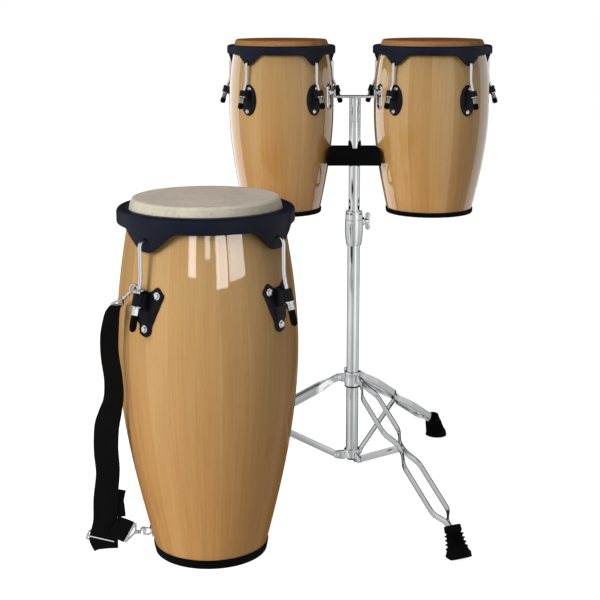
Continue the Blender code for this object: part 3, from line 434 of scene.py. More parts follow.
def webbing_paint():
    """Woven nylon: ribs across the band and fine yarns along it, laid out on the band's own UV in metres."""
    paint = Paint("woven_nylon", Sheen_Weight=0.04, Sheen_Roughness=0.5, Specular_IOR_Level=0.15)
    paint.shader.inputs["Sheen Tint"].default_value = (0.5, 0.5, 0.55, 1.0)
    place = paint.place("UV")

    def threads(scale, distortion, direction):
        values = {"Vector": place, "Scale": scale, "Distortion": distortion}
        return paint.node("ShaderNodeTexWave", values, bands_direction=direction).outputs["Fac"]

    ribs = threads(210.0, 0.6, "Y")
    yarns = threads(330.0, 0.8, "X")
    weave = paint.math("MULTIPLY", ribs, paint.levels(yarns, 0.45, 1.0))
    cloud = paint.noise(paint.place(), 28.0, 4.0)
    fuzz = paint.noise(paint.place(), 900.0, 2.0)
    colour = paint.ramp(weave, (0.0, (0.0010, 0.0010, 0.0011)), (1.0, (0.0060, 0.0060, 0.0064)))
    paint.colour(paint.times(colour, paint.levels(cloud, 0.7, 1.3, 0.3, 0.7)))
    paint.roughness(paint.levels(fuzz, 0.72, 0.95))
    paint.bump(weave, 0.6, 0.0006)
    return paint.material


CONGA_TONES = ((0.560, 0.290, 0.095), (0.680, 0.375, 0.135), (0.760, 0.460, 0.190))
LEFT_TONES = ((0.520, 0.275, 0.085), (0.620, 0.350, 0.120), (0.700, 0.430, 0.170))
RIGHT_TONES = ((0.540, 0.290, 0.090), (0.640, 0.370, 0.130), (0.715, 0.445, 0.180))
WOOD = {
    "conga": wood_paint("conga_staves", CONGA, 1.10, CONGA_TONES, 3.0, 0.36),
    "left": wood_paint("left_staves", LEFT, 0.74, LEFT_TONES, 8.0),
    "right": wood_paint("right_staves", RIGHT, 0.80, RIGHT_TONES, 15.0),
}
# Each hide's top colour is darker than its side colour: painted shade on the top.
NATURAL_SKIN = hide_paint(
    "natural_hide",
    CONGA.top_z + CONGA.skin,
    (0.550, 0.480, 0.400),
    (0.660, 0.600, 0.480),
    (0.200, 0.130, 0.070),
    (0.300, 0.250, 0.200),
    0.12,
)
BROWN_SKIN = hide_paint(
    "brown_hide",
    LEFT.top_z + LEFT.skin,
    (0.165, 0.074, 0.030),
    (0.385, 0.185, 0.070),
    (0.120, 0.050, 0.022),
    (0.165, 0.070, 0.028),
    0.03,
)
BLACK = coat_paint("black_powder_coat", (0.0055, 0.0080, 0.0180), 0.42, 900.0, 0.10, 0.19)
LUG_BLACK = coat_paint("black_lug_coat", (0.0050, 0.0050, 0.0075), 0.34, 700.0, 0.12, 0.18)
PLASTIC = coat_paint("black_plastic", (0.0020, 0.0019, 0.0019), 0.36, 1100.0, 0.12, 0.05)
RUBBER = coat_paint("black_rubber", (0.0028, 0.0026, 0.0025), 0.60, 500.0, 0.20, 0.05)
CHROME = chrome_paint("polished_chrome", (0.80, 0.81, 0.82), (0.89, 0.895, 0.90))
STEEL = chrome_paint("dull_steel", (0.26, 0.24, 0.23), (0.36, 0.34, 0.33))
WEBBING = webbing_paint()


# ---------------------------------------------------------------- modelling helpers
def add(name, data):
    item = bpy.data.objects.new(name, data)
    bpy.context.scene.collection.objects.link(item)
    return item


def from_shape(name, shape, matrix=None):
    """A bmesh turned into an object, with its normals pointing out and the matrix applied to its mesh."""
    bmesh.ops.remove_doubles(shape, verts=shape.verts, dist=0.000002)
    bmesh.ops.recalc_face_normals(shape, faces=shape.faces)
    if matrix:
        shape.transform(matrix)
    mesh = bpy.data.meshes.new(name)
    shape.to_mesh(mesh)
    shape.free()
    return add(name, mesh)


def settle(item):
    """Turns an object's modifiers into its mesh."""
    bpy.context.view_layer.update()
    graph = bpy.context.evaluated_depsgraph_get()
    mesh = bpy.data.meshes.new_from_object(item.evaluated_get(graph))
    item.modifiers.clear()
    item.data = mesh
    return item


def bevelled(item, width, segments=2, limit=35):
    made = item.modifiers.new("bevel", "BEVEL")
    made.width = width
    made.segments = segments
    made.limit_method = "ANGLE"
    made.angle_limit = math.radians(limit)
    made.use_clamp_overlap = True
    return settle(item)


def cut(item, *tools):
    """Cuts tools out of an object and takes them away."""
    for tool in tools:
        made = item.modifiers.new("cut", "BOOLEAN")
        made.operation = "DIFFERENCE"
        made.solver = "EXACT"
        made.object = tool
    settle(item)
    for tool in tools:
        bpy.data.objects.remove(tool, do_unlink=True)
    return item


def merged(name, *items):
    """Several objects made into one, in world space."""
    bpy.context.view_layer.update()
    shape = bmesh.new()
    for item in items:
        item.data.transform(item.matrix_world)
        shape.from_mesh(item.data)
        bpy.data.objects.remove(item, do_unlink=True)
    mesh = bpy.data.meshes.new(name)
    shape.to_mesh(mesh)
    shape.free()
    return add(name, mesh)


def smooth(item, angle=35):
    item.data.shade_smooth()
    item.data.set_sharp_from_angle(angle=math.radians(angle))
    return item


def dress(item, body, material, replaces=()):
    """Finishes a piece: its material, the CAD body it rides on, and the CAD parts it stands in for."""
    item.data.materials.clear()
    item.data.materials.append(material)
    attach(item, body)
    if replaces:
        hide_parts(*replaces)
    return item


def copy_of(item, name, matrix):
    made = add(name, item.data)
    made.matrix_world = matrix
    return made


def about(origin, azimuth, slope=0.0):
    """A frame at origin whose +X points along an azimuth, tipped down by slope."""
    turn = Matrix.Rotation(azimuth, 4, "Z")
    return Matrix.Translation(origin) @ turn @ Matrix.Rotation(slope, 4, "Y")


def upright(x=0.0, y=0.0, z=0.0):
    """A frame whose Y points up and whose Z points along Y, for outlines of (x, height)."""
    return Matrix(((1, 0, 0, x), (0, 0, 1, y), (0, 1, 0, z), (0, 0, 0, 1)))


def facing_viewer(x=0.0, y=0.0):
    """A frame whose Y points up and whose Z points to the front, for outlines of (x, height)."""
    return Matrix(((1, 0, 0, x), (0, 0, -1, y), (0, 1, 0, 0), (0, 0, 0, 1)))


def pole_at(z, x=0.0):
    """A point on the pole's axis, or x metres to its right."""
    return POLE + Vector((x, 0, z))


def outward(angle):
    """The +X direction's azimuth for a place at this angle from the drum's front."""
    return angle - math.pi / 2


def rings_to_shape(rings, close_round=True, cap=False, close_along=False):
    """Faces between rings of points that all have the same count."""
    shape = bmesh.new()
    rows = [[shape.verts.new(point) for point in ring] for ring in rings]
    count = len(rows[0])
    pairs = list(zip(rows, rows[1:]))
    if close_along:
        pairs.append((rows[-1], rows[0]))
    for first, second in pairs:
        for i in range(count if close_round else count - 1):
            j = (i + 1) % count
            shape.faces.new((first[i], first[j], second[j], second[i]))
    if cap:
        shape.faces.new(reversed(rows[0]))
        shape.faces.new(rows[-1])
    return shape


def lathe(name, profile, steps=TURN_STEPS, matrix=None, closed=True):
    """A profile of (radius, height) points turned about Z; an open one starts and ends on the axis."""
    shape = bmesh.new()
    columns = []
    for step in range(steps):
        turn = math.tau * step / steps
        columns.append([(r * math.cos(turn), r * math.sin(turn), z) for r, z in profile])
    tips = {}
    rows = []
    for column in columns:
        row = []
        for index, point in enumerate(column):
            if profile[index][0] < 1e-7:
                if index not in tips:
                    tips[index] = shape.verts.new((0, 0, profile[index][1]))
                row.append(tips[index])
            else:
                row.append(shape.verts.new(point))
        rows.append(row)
    count = len(profile)
    for step in range(steps):
        first = rows[step]
        second = rows[(step + 1) % steps]
        for i in range(count if closed else count - 1):
            j = (i + 1) % count
            corners = []
            for corner in (first[i], second[i], second[j], first[j]):
                if corner not in corners:
                    corners.append(corner)
            if len(corners) > 2:
                shape.faces.new(corners)
    return from_shape(name, shape, matrix)


def arc(centre, radius, start, end, steps):
    """Points (x, y) on a circle from one angle to another, in degrees."""
    points = []
    for i in range(steps + 1):
        angle = math.radians(start + (end - start) * i / steps)
        points.append((centre[0] + radius * math.cos(angle), centre[1] + radius * math.sin(angle)))
    return points


def filleted(points, radius, steps=5):
    """A line of points with each inner corner rounded."""
    points = [Vector(point) for point in points]
    made = [points[0]]
    for before, corner, after in zip(points, points[1:], points[2:]):
        back = before - corner
        on = after - corner
        reach = min(radius, back.length * 0.48, on.length * 0.48)
        start = corner + back.normalized() * reach
        end = corner + on.normalized() * reach
        for i in range(steps + 1):
            t = i / steps
            made.append(start * (1 - t) ** 2 + corner * 2 * t * (1 - t) + end * t**2)
    made.append(points[-1])
    return made


def sweep(name, points, radius, sides=14, closed=False, matrix=None):
    """A round wire along points; radius may be a list, one for each point."""
    points = [Vector(point) for point in points]
    count = len(points)
    radii = radius if isinstance(radius, (list, tuple)) else [radius] * count
    rings = []
    side = None
    for index, point in enumerate(points):
        before = points[index - 1] if closed or index else point
        after = points[(index + 1) % count] if closed or index < count - 1 else point
        along = (after - before).normalized()
        if side is None:
            side = along.orthogonal().normalized()
        side = (side - along * side.dot(along)).normalized()
        other = along.cross(side)
        ring = []
        for step in range(sides):
            turn = math.tau * step / sides
            ring.append(point + (side * math.cos(turn) + other * math.sin(turn)) * radii[index])
        rings.append(ring)
    shape = rings_to_shape(rings, cap=not closed, close_along=closed)
    return smooth(from_shape(name, shape, matrix), 50)


def rod(name, start, end, profile, steps=32):
    """A turned bar from start to end; profile gives (radius, share of the way) points from start."""
    start = Vector(start)
    end = Vector(end)
    length = (end - start).length
    outline = [(r, t * length) for r, t in profile]
    outline = [(0, outline[0][1]), *outline, (0, outline[-1][1])]
    aim = (end - start).to_track_quat("Z", "Y").to_matrix().to_4x4()
    return lathe(name, outline, steps, Matrix.Translation(start) @ aim, closed=False)


def soft_rod(name, start, end, radius, edge, steps=32):
    """A bar with rounded edges."""
    length = (Vector(end) - Vector(start)).length
    near = edge / length
    rounded = [(radius - edge, 0), (radius - edge * 0.3, near * 0.3), (radius, near)]
    profile = rounded + [(r, 1 - share) for r, share in reversed(rounded)]
    return rod(name, start, end, profile, steps)


def block(name, low, high, matrix=None, bevel=0.0, segments=2):
    shape = bmesh.new()
    bmesh.ops.create_cube(shape, size=1.0)
    low = Vector(low)
    high = Vector(high)
    for vertex in shape.verts:
        vertex.co = Vector((a * b for a, b in zip(vertex.co, high - low))) + (low + high) / 2
    item = from_shape(name, shape, matrix)
    return bevelled(item, bevel, segments) if bevel else item


def slab(name, outline, thick, matrix=None, bevel=0.0, segments=2):
    """A flat outline in XY, thickened evenly to both sides."""
    shape = bmesh.new()
    bottom = [shape.verts.new((x, y, -thick / 2)) for x, y in outline]
    top = [shape.verts.new((x, y, thick / 2)) for x, y in outline]
    shape.faces.new(reversed(bottom))
    shape.faces.new(top)
    for i in range(len(outline)):
        j = (i + 1) % len(outline)
        shape.faces.new((bottom[i], bottom[j], top[j], top[i]))
    item = from_shape(name, shape, matrix)
    return bevelled(item, bevel, segments) if bevel else item


def hexagon(name, start, end, radius, chamfer):
    """A hex nut or bolt head between two points, with chamfered corners."""
    item = rod(name, start, end, [(radius, 0), (radius, 1)], steps=6)
    return bevelled(item, chamfer, 2, 20)


def dome_bolt(name, place, out, radius, tall):
    """A round domed screw head on a washer; out is the way it faces."""
    place = Vector(place)
    out = Vector(out).normalized()
    turns = [(radius * math.cos(a), 0.25 + 0.75 * math.sin(a)) for a in deg(0, 15, 30, 45, 60, 75, 88)]
    head = rod(name, place, place + out * tall, [(radius, 0), *turns], steps=24)
    washer = soft_rod("washer", place - out * 0.0004, place + out * 0.0008, radius * 1.25, 0.0003, 24)
    return merged(name, washer, head)


def hex_bolt(name, place, out, radius, tall):
    """A hex bolt head on a washer."""
    place = Vector(place)
    out = Vector(out).normalized()
    head = hexagon(name, place + out * 0.0010, place + out * (0.0010 + tall), radius, 0.0005)
    washer = soft_rod("washer", place - out * 0.0004, place + out * 0.0012, radius * 1.30, 0.0004, 28)
    return merged(name, washer, head)


# ---------------------------------------------------------------- drums
def shell_r(drum, z):
    """Outer radius of the shell: a quarter sine up to the belly, a power curve above it."""
    if z <= drum.belly_z:
        part = (z - drum.shell_foot) / (drum.belly_z - drum.shell_foot)
        return drum.base_r + (drum.belly_r - drum.base_r) * math.sin(math.pi / 2 * max(part, 0))
    part = (z - drum.belly_z) / (drum.top_z - drum.belly_z)
    return drum.belly_r - (drum.belly_r - drum.top_r) * min(part, 1) ** drum.shoulder


def shell_lean(drum, z):
    """How fast the shell widens with height."""
    return (shell_r(drum, z + 0.005) - shell_r(drum, z - 0.005)) / 0.010


def drum_frame(drum):
    return about(drum.place + Vector((0, 0, drum.floor)), drum.turn)


def lug_frame(drum, azimuth):
    return drum_frame(drum) @ about((0, 0, 0), outward(azimuth))


def make_shell(drum):
    levels = [drum.shell_foot + (drum.top_z - drum.shell_foot) * i / 44 for i in range(45)]
    outer = [(shell_r(drum, z), z) for z in levels]
    inner = [(shell_r(drum, z) - drum.wall, z) for z in levels[::-4]]
    bearing = crown_r(drum) - drum.skin
    outer = [point for point in outer if point[1] < drum.top_z - bearing]
    outer += arc((drum.top_r - bearing, drum.top_z - bearing), bearing, 0, 90, 6)
    item = lathe(f"{drum.name}_staved_shell", outer + inner)
    return on_drum(item, drum, 40, WOOD[drum.name], [f"{drum.name}_shell"])


def on_drum(item, drum, angle, material, nodes):
    """Finishes a piece that was made in its drum's own frame."""
    item.matrix_world = drum_frame(drum)
    return dress(smooth(item, angle), drum.body, material, nodes)


def crown_r(drum):
    """Radius of the skin's rounded edge, over the shell's own rounded bearing edge."""
    return 0.0072 if drum is CONGA else 0.0050


def hoop_outer_r(drum):
    bottom, _, wide = drum.hoop
    return shell_r(drum, bottom) + SKIN_GAP + wide


def make_head(drum, skin):
    """The skin: a nearly flat top, a rounded edge over the shell and a side that runs down to the hoop."""
    bottom, tall, _ = drum.hoop
    hoop_top = bottom + tall
    over = drum.top_z + 0.0004
    edge = drum.top_r + SKIN_GAP
    turn_r = crown_r(drum)

    def inner(z):
        return shell_r(drum, z) + SKIN_GAP

    top = over + drum.skin
    centre = (edge + drum.skin - turn_r, top - turn_r)
    crown = arc(centre, turn_r, 90, 8, 9)
    flats = [(edge * share, top - 0.00005) for share in (0.25, 0.5, 0.72, 0.88)]
    side_z = [top - turn_r - (top - turn_r - hoop_top) * i / 6 for i in range(1, 7)]
    side = [(inner(z) + drum.skin, z) for z in side_z]
    hoop_r = hoop_outer_r(drum)
    hoop = [(hoop_r, hoop_top - 0.001), (hoop_r, bottom + 0.001)]
    hoop += [(hoop_r - 0.001, bottom), (inner(bottom), bottom)]
    back = [(inner(z), z) for z in reversed(side_z[:-1])]
    under = arc(centre, turn_r - drum.skin, 8, 90, 6)
    profile = [(0, top), *flats, *crown, *side, *hoop, *back, *under, (0, over)]
    item = lathe(f"{drum.name}_drum_skin", profile, closed=False)
    on_drum(item, drum, 50, skin, [f"{drum.name}_head"])


def ear_share(drum, angle):
    """How far the rim's edge hangs down at this angle: 0 between the ears, 1 at an ear's tip."""
    top, tip = drum.ear_half
    window = math.radians(4.5)  # the corners are softened over this width
    total = 0.0
    samples = 9
    for i in range(samples):
        place = angle + window * (i / (samples - 1) - 0.5)
        nearest = min(abs((place - lug + math.pi) % math.tau - math.pi) for lug in drum.lug_azimuths)
        total += min(max((top - nearest) / (top - tip), 0.0), 1.0)
    return total / samples


def make_rim(drum):
    """The tension rim: a rounded band over the flesh hoop, whose edge hangs down in an ear over each lug."""
    low, high = drum.rim_z
    hoop_top = drum.hoop[0] + drum.hoop[1]
    lip = shell_r(drum, hoop_top) + SKIN_GAP + drum.skin + 0.0008
    collar = hoop_outer_r(drum) + 0.0007
    outer = drum.rim_r
    round_top = drum.rim_round
    round_low = drum.rim_round * 0.40
    inside = outer - RIM_WALL
    steps = 300
    rings = []
    for step in range(steps):
        angle = math.tau * step / steps
        share = ear_share(drum, angle)
        bottom = low - (low - drum.ear_tip) * share
        edge_r = round_low + (0.0014 - round_low) * min(share * 4, 1.0)
        profile = [(lip, high - 0.003), (lip + 0.0006, high - 0.001), (lip + 0.002, high)]
        profile += arc((outer - round_top, high - round_top), round_top, 90, 0, 7)
        profile += arc((outer - edge_r, bottom + edge_r), edge_r, 0, -90, 5)
        profile += [(inside, bottom), (inside, low + 0.0005)]
        profile += [(collar, low + 0.0005), (collar, hoop_top + 0.0004), (lip, hoop_top + 0.0004)]
        turn = outward(angle)
        rings.append([(r * math.cos(turn), r * math.sin(turn), z) for r, z in profile])
    item = from_shape(f"{drum.name}_tension_rim", rings_to_shape(rings, close_along=True))
    eyes = []
    for azimuth in drum.lug_azimuths:
        hole = about((0, 0, drum.eye_z), outward(azimuth))
        ends = [hole @ Vector((outer + side, 0, 0)) for side in (-0.012, 0.012)]
        eyes.append(rod("eye", *ends, [(drum.rod_r + 0.0013, 0), (drum.rod_r + 0.0013, 1)], steps=24))
    cut(item, *eyes)
    on_drum(item, drum, 32, BLACK, [f"{drum.name}_rim"])


def make_base_ring(drum):
    """Rubber ring that covers the shell's lower edge."""
    foot = drum.shell_foot - GAP
    top_r = shell_r(drum, drum.ring_z) + RING_GAP
    inside_r = shell_r(drum, drum.shell_foot) + RING_GAP
    profile = [(top_r, drum.ring_z - 0.0002), (top_r + 0.0006, drum.ring_z)]
    profile += [(top_r + 0.0014, drum.ring_z - 0.0004), (top_r + 0.0018, drum.ring_z - 0.0012)]
    profile += [((top_r + inside_r) / 2 + 0.0025, drum.ring_z / 2), (inside_r + 0.0030, 0.0026)]
    profile += [(inside_r + 0.0025, 0.0010), (inside_r + 0.0013, 0.0), (drum.ring_inner + 0.001, 0.0)]
    profile += [(drum.ring_inner, 0.001), (drum.ring_inner, foot), (inside_r, foot)]
    item = lathe(f"{drum.name}_rubber_base", profile, matrix=drum_frame(drum))
    dress(smooth(item, 40), drum.body, RUBBER, [f"{drum.name}_base_ring"])


def rod_points(drum):
    """The tuning rod in its own plane: through the ear, down, out at the knee, through the sleeve."""
    (straight_out, knee_z), (top_out, top_z), (end_out, end_z) = drum.rod
    straight = drum.rim_r + straight_out
    hook_z = drum.eye_z - 0.0009
    inside = drum.rim_r - RIM_WALL - drum.rod_r * 1.6
    top = (shell_r(drum, top_z) + top_out, top_z)
    end = (shell_r(drum, end_z) + end_out, end_z)
    return [(inside, hook_z), (straight, hook_z), (straight, knee_z), top, end]


def rod_at(drum, z):
    """The point of the rod's straight lower run at this height, and the run's direction."""
    top, end = (Vector((r, 0, height)) for r, height in rod_points(drum)[-2:])
    down = (end - top).normalized()
    return top + down * ((z - top.z) / down.z), down


def oval(drum):
    """Lug plate of a mini conga: an oval, as (across, height) points."""
    low, high = drum.plate
    middle = (low + high) / 2
    turns = [math.tau * i / 48 for i in range(48)]
    return [(0.020 * math.sin(a), middle + (high - low) / 2 * math.cos(a)) for a in turns]


def fork(drum):
    """Lug plate of the large conga: two lobes at the top with a dip between them, and a round foot."""
    low, high = drum.plate
    foot_r = 0.016
    half = 0.041
    dip = [(0.020 * math.sin(a), high - 0.003 - 0.010 * math.cos(a) ** 2) for a in deg(0, 18, 36, 54, 72)]
    corners = [(0.023, high - 0.0008), (0.026, high), (0.031, high - 0.003), (0.0385, high - 0.012)]
    corners += [(half, high - 0.016), (half - 0.0005, high - 0.019)]
    foot = arc((0, low + foot_r), foot_r, 14, -84, 9)
    side = dip[1:] + corners + foot
    return [dip[0], *side, (0, low), *[(-x, z) for x, z in reversed(side)]]


def wrapped_plate(name, drum, outline, thick, crown):
    """A plate that lies on the shell, with a rounded edge and a crown that swells towards its middle."""
    shape = bmesh.new()
    shape.faces.new([shape.verts.new((x, z, 0)) for x, z in outline])
    low = min(z for _, z in outline)
    high = max(z for _, z in outline)
    half = max(x for x, _ in outline)
    columns = 14
    rows = 18
    cuts = [((-half + 2 * half * i / columns, 0, 0), (1, 0, 0)) for i in range(1, columns)]
    cuts += [((0, low + (high - low) * i / rows, 0), (0, 1, 0)) for i in range(1, rows)]
    for place, normal in cuts:
        everything = shape.verts[:] + shape.edges[:] + shape.faces[:]
        bmesh.ops.bisect_plane(shape, geom=everything, plane_co=place, plane_no=normal)
    bmesh.ops.inset_region(shape, faces=shape.faces, thickness=0.0011, use_even_offset=True)
    rim = {v for e in shape.edges if e.is_boundary for v in e.verts}
    centre = Vector((0, (low + high) / 2, 0))
    for vertex in shape.verts:
        if vertex in rim:
            vertex.co.z = thick * 0.55
            continue
        from_middle = vertex.co - centre
        reach = Vector((from_middle.x / half, from_middle.y / ((high - low) / 2), 0)).length
        vertex.co.z = thick + crown * max(0.0, 1 - reach**2)
    made = bmesh.ops.extrude_face_region(shape, geom=shape.faces[:])
    for vertex in [v for v in made["geom"] if isinstance(v, bmesh.types.BMVert)]:
        vertex.co.z = GAP
    for vertex in shape.verts:
        across, z, out = vertex.co
        radius = shell_r(drum, z)
        turn = across / radius
        vertex.co = ((radius + out) * math.cos(turn), (radius + out) * math.sin(turn), z)
    return from_shape(name, shape)


def on_shell(drum, across, z, out=0.0):
    """A point on the shell at this distance across the lug's middle, and the way the shell faces there."""
    radius = shell_r(drum, z)
    turn = across / radius
    lean = shell_lean(drum, z)
    normal = Vector((math.cos(turn), math.sin(turn), -lean)).normalized()
    return Vector((radius * math.cos(turn), radius * math.sin(turn), z)) + normal * out, normal


def make_lug_metal(drum, outline, bolts, sleeve_r, plate_thick):
    """A lug's black casting and its bolts, at azimuth 0 of the drum's own frame."""
    top, down = rod_at(drum, drum.sleeve[0])
    bottom, _ = rod_at(drum, drum.sleeve[1])
    tall = drum.plate[1] - drum.plate[0]
    plate = wrapped_plate("plate", drum, outline, plate_thick, plate_thick * 0.5)
    sleeve_length = (bottom - top).length
    lip = 0.0012 / sleeve_length
    rounded = [(drum.rod_r + GAP, 0), (sleeve_r - 0.0012, 0)]
    rounded += [(sleeve_r - 0.0003, lip * 0.4), (sleeve_r, lip * 1.3)]
    profile = [*rounded, (sleeve_r * 0.97, 0.5), *((r, 1 - share) for r, share in reversed(rounded))]
    aim = down.to_track_quat("Z", "Y").to_matrix().to_4x4()
    sleeve = lathe("sleeve", [(r, t * sleeve_length) for r, t in profile], 32, Matrix.Translation(top) @ aim)
    root = shell_r(drum, sum(drum.plate) / 2) + 0.001
    web_low = bottom.z - tall * 0.10
    outline_side = [
        (root, web_low - tall * 0.10),
        (root + 0.004, web_low - tall * 0.04),
        (bottom.x - 0.001, bottom.z + 0.001),
        (top.x - 0.001, top.z - 0.002),
        (root + 0.003, top.z + tall * 0.015),
        (root, top.z + tall * 0.03),
    ]
    web = slab("web", outline_side, sleeve_r * 1.80, facing_viewer(), 0.0016, 3)
    casting = merged("casting", plate, sleeve, web)
    heads = []
    for across, z, maker, size in bolts:
        place, normal = on_shell(drum, across, z, plate_thick * 1.15)
        heads.append(maker("bolt", place, normal, size, size * 0.75))
    return smooth(casting, 40), smooth(merged("bolts", *heads), 40)


def make_rod_chrome(drum):
    """The bent tuning rod, at azimuth 0 of the drum's own frame."""
    points = [(r, 0, z) for r, z in rod_points(drum)]
    line = filleted(points, drum.rod_r * 3.2, 7)
    start = line[0] - (line[1] - line[0]).normalized() * 0.001
    return sweep("tuning_rod", [start, *line[1:]], drum.rod_r, 18)


def make_washer(drum, radius):
    place, down = rod_at(drum, drum.sleeve[1] + 0.0002)
    return smooth(soft_rod("washer", place, place + down * 0.0016, radius, 0.0005, 28), 40)


def make_nut(drum, radius):
    """Hex nut with a round flange at its top, in its own frame along the rod."""
    start, _ = rod_at(drum, drum.nut[0])
    end, _ = rod_at(drum, drum.nut[1])
    flange = soft_rod("flange", start, start.lerp(end, 0.16), radius * 1.12, 0.0005, 28)
    body = hexagon("nut", start.lerp(end, 0.08), end, radius, 0.0007)
    return smooth(merged("nut", flange, body), 35)


def make_tip(drum, radius):
    """Rubber cap over the rod's threaded end."""
    start, down = rod_at(drum, drum.nut[1] + 0.0002)
    end = rod_at(drum, drum.rod[2][1])[0] + down * 0.0022
    length = (end - start).length
    profile = [(drum.rod_r * 1.05, 0), (radius * 0.92, 0.02), (radius, 0.10), (radius, 0.72)]
    profile += [(radius * math.cos(a), 0.72 + 0.28 * math.sin(a)) for a in deg(22, 45, 65, 80)]
    return smooth(rod("tip", start, start + down * length, profile, 24), 40)


@dataclass(frozen=True)
class Lug:
    """Sizes of a drum's lugs; each bolt is (distance across the plate, height, maker, radius)."""

    bolts: tuple
    sleeve_r: float
    plate_thick: float
    washer_r: float
    nut_r: float
    tip_r: float
    nut_metal: bpy.types.Material


CONGA_BOLTS = tuple((x, z, hex_bolt, 0.0058) for x, z in ((-0.026, 0.5830), (0.026, 0.5830), (0, 0.5160)))
MINI_BOLTS = tuple((x, z, dome_bolt, 0.0036) for x, z in ((0.004, 0.2860), (-0.002, 0.2370)))
CONGA_LUG = Lug(CONGA_BOLTS, 0.0098, 0.0036, 0.0112, 0.0072, 0.0070, CHROME)
MINI_LUG = Lug(MINI_BOLTS, 0.0078, 0.0030, 0.0082, 0.0052, 0.0060, STEEL)


def make_lugs(drum):
    """All the lugs of a drum, as copies of one."""
    size = CONGA_LUG if drum is CONGA else MINI_LUG
    outline = fork(drum) if drum is CONGA else oval(drum)
    casting, heads = make_lug_metal(drum, outline, size.bolts, size.sleeve_r, size.plate_thick)
    washer = make_washer(drum, size.washer_r)
    nut = make_nut(drum, size.nut_r)
    tip = make_tip(drum, size.tip_r)
    bent = make_rod_chrome(drum)
    for number, azimuth in enumerate(drum.lug_azimuths, 1):
        name = f"{drum.name}_lug_{number}"
        nodes = {"casting": [name]}
        nut_body = drum.body
        if drum is CONGA:
            nodes = {"casting": [f"conga_lug_plate_{number}"]}
            nodes |= {"rod": [f"conga_tuning_rod_{number}"], "nut": [f"conga_tension_nut_{number}"]}
            nut_body = f"tension_nut_{number}"
        for part, source, body, material, slot in (
            ("casting", casting, drum.body, LUG_BLACK, "black_paint"),
            ("bolts", heads, drum.body, CHROME, "chrome"),
            ("rod", bent, drum.body, CHROME, "chrome"),
            ("washer", washer, drum.body, CHROME, "chrome"),
            ("nut", nut, nut_body, size.nut_metal, "chrome"),
            ("tip", tip, drum.body, RUBBER, "rubber"),
        ):
            piece = copy_of(source, f"{name}_{part}", lug_frame(drum, azimuth))
            dress(piece, body, material, nodes.get(part, ()))
    for source in (casting, heads, bent, washer, nut, tip):
        bpy.data.objects.remove(source, do_unlink=True)


def mount_side(drum):
    """+1 for the drum on the pole's left, whose bracket faces +X, and -1 for the one on its right."""
    return 1 if drum.place.x < POLE.x else -1


def mount_point(drum):
    """Where the mount bolt's line, along X in the pole's own plane, meets the shell."""
    radius = shell_r(drum, MOUNT_BOLT_Z - drum.floor)
    across = math.sqrt(radius**2 - (drum.place.y - POLE.y) ** 2)
    return Vector((drum.place.x + mount_side(drum) * across, POLE.y, MOUNT_BOLT_Z))


def tab_face(drum):
    """X of the side of the T-bar's tab that faces the drum."""
    return mount_point(drum).x + mount_side(drum) * (BOSS_LENGTH + 0.0025)


def make_mount(drum):
    """Chrome plate on the shell, with its two screws and the boss that meets the tab."""
    side = mount_side(drum)
    point = mount_point(drum)
    azimuth = math.atan2(point.y - drum.place.y, point.x - drum.place.x)
    z = MOUNT_BOLT_Z - drum.floor
    outline = arc((0, z + 0.008), 0.011, 0, 180, 10) + arc((0, z - 0.027), 0.011, 180, 360, 10)
    plate = wrapped_plate("plate", drum, outline, 0.0026, 0.0004)
    plate.matrix_world = about(Vector((drum.place.x, drum.place.y, drum.floor)), azimuth)
    face = Vector((tab_face(drum) - side * GAP, POLE.y, MOUNT_BOLT_Z))
    root = point - Vector((side * 0.001, 0, 0))
    boss = soft_rod("boss", root, face, BOSS_R, 0.0008)
    foot = soft_rod("foot", root, point + Vector((side * 0.0045, 0, 0)), BOSS_R * 1.35, 0.0012)
    screws = []
    for height in (z + 0.0125, z - 0.0310):
        place, normal = on_shell(drum, 0, height, 0.0026)
        turn = plate.matrix_world
        screws.append(dome_bolt("screw", turn @ place, turn.to_3x3() @ normal, 0.0030, 0.0022))
    item = merged(f"{drum.name}_mount_plate", plate, boss, foot)
    dress(smooth(item, 40), drum.body, CHROME, [f"{drum.name}_mount_bracket"])
    heads = smooth(merged(f"{drum.name}_mount_screws", *screws), 40)
    dress(heads, drum.body, LUG_BLACK, ())


def make_knob(drum):
    """Lobed hand knob outside the tab, with its bolt through the slot."""
    side = mount_side(drum)
    start = tab_face(drum) + side * (TAB_THICK + GAP)
    body = f"{drum.name}_knob"
    lobes = 6
    rings = []
    for share, size in ((0, 0.80), (0.06, 0.95), (0.16, 1.0), (0.62, 1.0), (0.86, 0.94), (1.0, 0.72)):
        ring = []
        for step in range(60):
            turn = math.tau * step / 60
            radius = KNOB_R * size * (1 - 0.09 * (0.5 - 0.5 * math.cos(lobes * turn)))
            x = start + side * KNOB_LENGTH * share
            ring.append((x, POLE.y + radius * math.cos(turn), MOUNT_BOLT_Z + radius * math.sin(turn)))
        rings.append(ring)
    knob = from_shape(f"{drum.name}_hand_knob", rings_to_shape(rings, cap=True))
    dress(smooth(knob, 40), body, PLASTIC, [f"{drum.name}_mount_knob"])
    tip = Vector((mount_point(drum).x + side * (0.004 + GAP), POLE.y, MOUNT_BOLT_Z))
    end = Vector((start + side * 0.002, POLE.y, MOUNT_BOLT_Z))
    bolt = soft_rod(f"{drum.name}_mount_bolt", tip, end, MOUNT_BOLT_R, 0.0005, 24)
    dress(smooth(bolt, 40), body, CHROME, ())


# ---------------------------------------------------------------- stand
def round_pole(name, profile, steps=48, closed=True):
    """A profile turned about the pole's axis."""
    return lathe(name, profile, steps, Matrix.Translation(POLE), closed)


def tube(name, radius, low, high):
    profile = [(radius, low + 0.0004), (radius, high - 0.0004), (radius - 0.0003, high)]
    profile += [(radius - TUBE_WALL, high), (radius - TUBE_WALL, low), (radius - 0.0003, low)]
    return smooth(round_pole(name, profile), 40)


